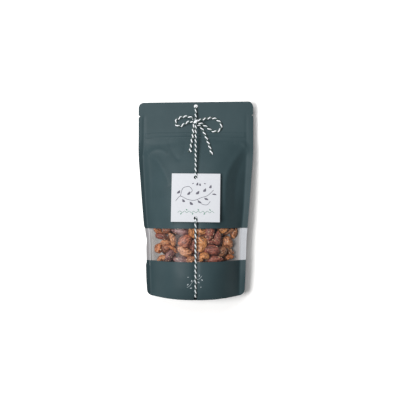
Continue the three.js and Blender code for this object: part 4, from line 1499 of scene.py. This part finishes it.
def crumb_finish():
    material, tree, shader = new_finish("pale crumbs", 0.6)
    tones = linear(184, 140, 106), linear(216, 182, 148), linear(232, 214, 190)
    tone = between(tree, speckle(tree, 700), 0.3, 0.7, *tones)
    tree.links.new(tone, shader.inputs["Base Color"])
    bumped(tree, shader, speckle(tree, 4000, 2), 0.0001, 0.6)
    return material


def build_crumb_tree():
    inputs = [
        ("Density", "NodeSocketFloat", 20000.0),
        ("Seed", "NodeSocketInt", 1),
        ("Smallest", "NodeSocketFloat", 0.0002),
        ("Largest", "NodeSocketFloat", 0.0007),
        ("Finish", "NodeSocketMaterial", None),
    ]
    tree, entry = new_tree("crumbs", inputs)
    normal = add(tree, "GeometryNodeInputNormal").outputs[0]
    slope = add(tree, "ShaderNodeSeparateXYZ", {0: normal}).outputs["Z"]
    feeds = {
        "Mesh": entry["Geometry"],
        "Selection": maths(tree, "GREATER_THAN", slope, STEEPEST),
        "Density": entry["Density"],
        "Seed": entry["Seed"],
    }
    sown = add(tree, "GeometryNodeDistributePointsOnFaces", feeds).outputs
    grain = add(tree, "GeometryNodeMeshIcoSphere", {"Radius": 1.0, "Subdivisions": 2})
    feeds = {2: entry["Smallest"], 3: entry["Largest"], "Seed": entry["Seed"]}
    size = add(tree, "FunctionNodeRandomValue", feeds).outputs[1]
    shape = add(tree, "ShaderNodeCombineXYZ", CRUMB_SHAPE).outputs[0]
    feeds = {
        "Points": sown["Points"],
        "Instance": grain.outputs["Mesh"],
        "Rotation": sown["Rotation"],
        "Scale": scaled(tree, shape, size),
    }
    placed = add(tree, "GeometryNodeInstanceOnPoints", feeds).outputs[0]
    add(tree, "NodeGroupOutput", {"Geometry": finished(tree, placed, entry["Finish"])})
    return tree


crumb_tree = build_crumb_tree()
crumbs = crumb_finish()
for seed, (kind, density) in enumerate(CRUMBS_PER_SQUARE_METRE.items(), FIRST_CRUMB_SEED):
    nuts = nut_pieces[f"{kind}s_front"].data
    inputs = {"Density": density, "Seed": seed, "Finish": crumbs}
    piece = count_triangles(grown(f"crumbs_on_{kind}s", nuts, crumb_tree, **inputs))
    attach(piece, "root")
    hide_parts("nuts")

# %% [markdown]
# ## The card
# A square of stout white card, bent a little over the filling, with two punched holes. A
# fine tooth in its surface keeps it from looking like plastic.

# %% Card
HOLE_BAND = 3
PLAIN_START = 3.8
CARD_MARGIN = 8


def paper():
    material, tree, shader = new_finish("white card", 0.82)
    tone = between(tree, speckle(tree, 420), 0.3, 0.7, linear(189, 191, 196), linear(192, 194, 198))
    tree.links.new(tone, shader.inputs["Base Color"])
    tree.links.new(spread(tree, speckle(tree, 900), 0.74, 0.9), shader.inputs["Roughness"])
    bumped(tree, shader, speckle(tree, 3200, 4), 0.00006, 0.6)
    return material


def on_card(across, down):
    """x and s of a point given from the card's middle, which hangs a little turned."""
    turn = math.radians(CARD_TURN)
    x = CARD_X + across * math.cos(turn) - down * math.sin(turn)
    return x, CARD_MIDDLE + down * math.cos(turn) + across * math.sin(turn)


def card_panel():
    near_hole = np.arange(-HOLE_BAND, HOLE_BAND + 0.01, 0.4)
    right = np.linspace(PLAIN_START, CARD_HALF_WIDTH, 20)
    columns = np.concatenate([-right[::-1], near_hole, right])
    from_edge = np.concatenate([[0, 0.2, 0.5, 1], np.arange(1.4, 7.1, 0.4)])
    middle = np.linspace(CARD_MARGIN - CARD_HALF_HEIGHT, CARD_HALF_HEIGHT - CARD_MARGIN, 32)
    bottom = CARD_HALF_HEIGHT - from_edge[::-1]
    rows = np.concatenate([from_edge - CARD_HALF_HEIGHT, middle, bottom])
    down, across = np.meshgrid(rows, columns, indexing="ij")
    x, s = on_card(across, down)
    keep = np.ones((x.shape[0] - 1, x.shape[1] - 1), bool)
    pierce(x, s, keep, TWINE_X, CARD_TOP + CARD_HOLE_INSET, CARD_HOLE_DIAMETER)
    pierce(x, s, keep, TWINE_X, CARD_BOTTOM - CARD_HOLE_INSET, CARD_HOLE_DIAMETER)
    white = paper()
    low = card_back(x, s)
    return closed_sheet("hanging_card", x, s, low + CARD_THICKNESS, low, [white, white], keep)


card = count_triangles(card_panel())
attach(card, "root")
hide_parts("card")

# %% [markdown]
# ## Printed sprigs
# The card and the pouch carry a small drawing each: a stem with leaves. A print is thinner
# than a hair, but a thin raised line shows the same and keeps its colour from every side. One
# tree turns lines into strokes, and the tree that scattered the nuts lays the leaves.

# %% The ink tree


def ink(name, colour):
    material, tree, shader = new_finish(name, 0.7)
    pale = [min(1, 1.3 * c + 0.02) for c in colour[:3]] + [1]
    tone = between(tree, speckle(tree, 900), 0.35, 0.7, colour, pale)
    tree.links.new(tone, shader.inputs["Base Color"])
    return material


def build_ink_tree():
    inputs = [
        ("Radius", "NodeSocketFloat", 0.00018),
        ("Step", "NodeSocketFloat", 0.0005),
        ("Finish", "NodeSocketMaterial", None),
    ]
    tree, entry = new_tree("ink lines", inputs)
    even = evenly(tree, entry["Geometry"], entry["Step"])
    stroke = smooth_tube(tree, even, entry["Radius"])
    add(tree, "NodeGroupOutput", {"Geometry": finished(tree, stroke, entry["Finish"])})
    return tree


ink_tree = build_ink_tree()
print("ink tree:", len(ink_tree.nodes), "nodes")

# %% Stems and leaves
LEAF_WIDTH = 0.4
LEAF_THICKNESS = 0.12


def leaf_form():
    """A flat lens, 2 mm long before it is sized, pointed at both ends."""
    points, faces = ball(3)
    x, y, z = points.T
    width = LEAF_WIDTH * y * (1 - np.abs(x) ** 2.4)
    return np.stack([x, width, LEAF_THICKNESS * z], 1), faces


def printed(name, surface, stems, leaves, finish, width, replaced):
    """Strokes along the stems, and leaves given as (across, down, turn, length)."""
    lines = []
    for stem in stems:
        bent = smooth_line([(across * MM, down * MM, 0) for across, down in stem], 0.0008)
        lines.append(np.array([surface(*point[:2]) for point in bent / MM]))
    data = curve_data(name, lines)
    strokes = grown(name + "_lines", data, ink_tree, Radius=width * MM / 2, Finish=finish)
    rows = [
        {"variant": 0, "at": surface(across, down), "turn": (0, 0, math.radians(turn))}
        | {"size": (size, size, 1), "tint": [1] * 4}
        for across, down, turn, size in leaves
    ]
    points, faces = leaf_form()
    blades = on_points(name + "_leaves", rows, "leaf", [(points, points[:, 0])], faces, finish)
    for piece in (count_triangles(strokes), blades):
        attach(piece, "root")
        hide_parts(replaced)


def card_surface(across, down):
    x, s = on_card(across, down)
    return place(x, s, card_back(x, s) + CARD_THICKNESS)


def film_surface(x, s):
    return place(x, s, front_face(x, s))


# %% Draw the sprigs
grey_ink = ink("grey ink", linear(78, 76, 88))
green_ink = ink("green ink", linear(46, 110, 84))
pale_ink = ink("pale ink", linear(150, 158, 162))

card_stem = [(-22, 3.5), (-17, -1.5), (-10, 1.5), (-2, 3), (6, 0), (13, -2.5), (19.5, -8.5)]
left_curl = [(-17, -1.5), (-14, -10.5), (-7, -12), (-4, -7.5), (-8, -4)]
right_curl = [(2, 2), (7, 7), (13, 7.5), (16, 4)]
card_stems = [card_stem, left_curl, right_curl]
card_leaves = [
    (-19.2, -5, 60, 3.6), (-13, 4.4, -60, 3.4), (-8, -3.6, 65, 3.6), (-4.4, 7.4, -55, 3.8),
    (1.6, -4.2, 60, 4), (4.6, 5.4, -40, 3.2), (9.4, -7, 68, 3.8), (12, 2, -35, 3.4),
    (15.8, -11, 75, 3.4), (20.4, -3.6, -10, 2.8), (1.4, -14, 80, 3), (4.6, -13.6, 100, 2.6),
    (-3.4, -15.4, 30, 1.5), (10, -15.4, -30, 1.5),
]
printed("card_sprig", card_surface, card_stems, card_leaves, grey_ink, 0.55, "card")

WAVE_DOWN = 15.6
wave = [(-19.5 + 2.5 * i, WAVE_DOWN + (0.9, -0.9)[i % 2]) for i in range(17)]
wave_leaves = [
    (-16 + 6.4 * i, WAVE_DOWN + (2.3, -2.1)[i % 2], (55, -50)[i % 2], 1.5) for i in range(6)
]
printed("card_wave", card_surface, [wave], wave_leaves, green_ink, 0.4, "card")

film_stem = [(-9.6, 206), (-6, 203.4), (-3, 199), (3.6, 196.5), (7, 193)]
film_leaves = [
    (-8.6, 202.6, 50, 1.5), (-5.4, 206.6, 0, 1.5), (-4.6, 198.6, 75, 1.5), (3.4, 200.4, -20, 1.6),
    (4, 192.8, 80, 1.5), (6.8, 197.6, -35, 1.4), (5.6, 205.6, 10, 0.9), (-8.4, 194.6, 10, 0.9),
]
printed("pouch_sprig", film_surface, [film_stem], film_leaves, pale_ink, 0.4, "pouch")

# %% [markdown]
# ## Light and table
# One large soft light stands over the pouch and to its left. It leaves the left flanks
# bright and the right ones in shade, and throws the short soft shadow on the right. A much
# weaker one, nearer and beyond the top edge, gives the closed top its soft shine. A dim
# white room fills what is left. The table is white too, and glows a little, so that it loses
# its own edge.

# %% Table
TABLE_HALF_SIZE = 3
TABLE_DROP = 0.0001
TABLE_GLOW = 0.14
table_finish, table_tree, table_shader = new_finish("white table", 0.7)
table_tones = linear(250, 249, 248), linear(252, 251, 250)
table_tone = between(table_tree, speckle(table_tree, 30), 0.3, 0.7, *table_tones)
table_tree.links.new(table_tone, table_shader.inputs["Base Color"])
table_shader.inputs["Emission Color"].default_value = (1, 1, 1, 1)
table_shader.inputs["Emission Strength"].default_value = TABLE_GLOW
signs = np.array([[-1, -1], [1, -1], [1, 1], [-1, 1]], float)
corners = np.hstack([TABLE_HALF_SIZE * signs, np.full((4, 1), -TABLE_DROP)])
table = mesh_piece("table", corners, np.array([[0, 1, 2, 3]]), [table_finish])

# %% Lights
KEY_DIRECTION = Vector((-0.52, -0.05, 1)).normalized()
FILL_DIRECTION = Vector((-0.3, 0.6, 1)).normalized()
ROOM_COLOUR = (1, 0.985, 0.97, 1)
ROOM_STRENGTH = 0.12


def soft_light(name, direction, distance, size, watts):
    data = bpy.data.lights.new(name, "AREA")
    data.shape = "DISK"
    data.size = size
    data.energy = watts
    light = bpy.data.objects.new(name, data)
    light.location = direction * distance
    light.rotation_euler = direction.to_track_quat("Z", "Y").to_euler()
    bpy.context.scene.collection.objects.link(light)
    return light


soft_light("key", KEY_DIRECTION, distance=2.0, size=0.8, watts=36)
soft_light("upper fill", FILL_DIRECTION, distance=0.6, size=0.45, watts=2.3)
world = bpy.data.worlds.new("white room")
world.use_nodes = True
background = world.node_tree.nodes["Background"]
background.inputs["Color"].default_value = ROOM_COLOUR
background.inputs["Strength"].default_value = ROOM_STRENGTH
bpy.context.scene.world = world
bpy.context.scene.view_settings.view_transform = "Standard"
print("lights:", sorted(light.name for light in bpy.data.lights))
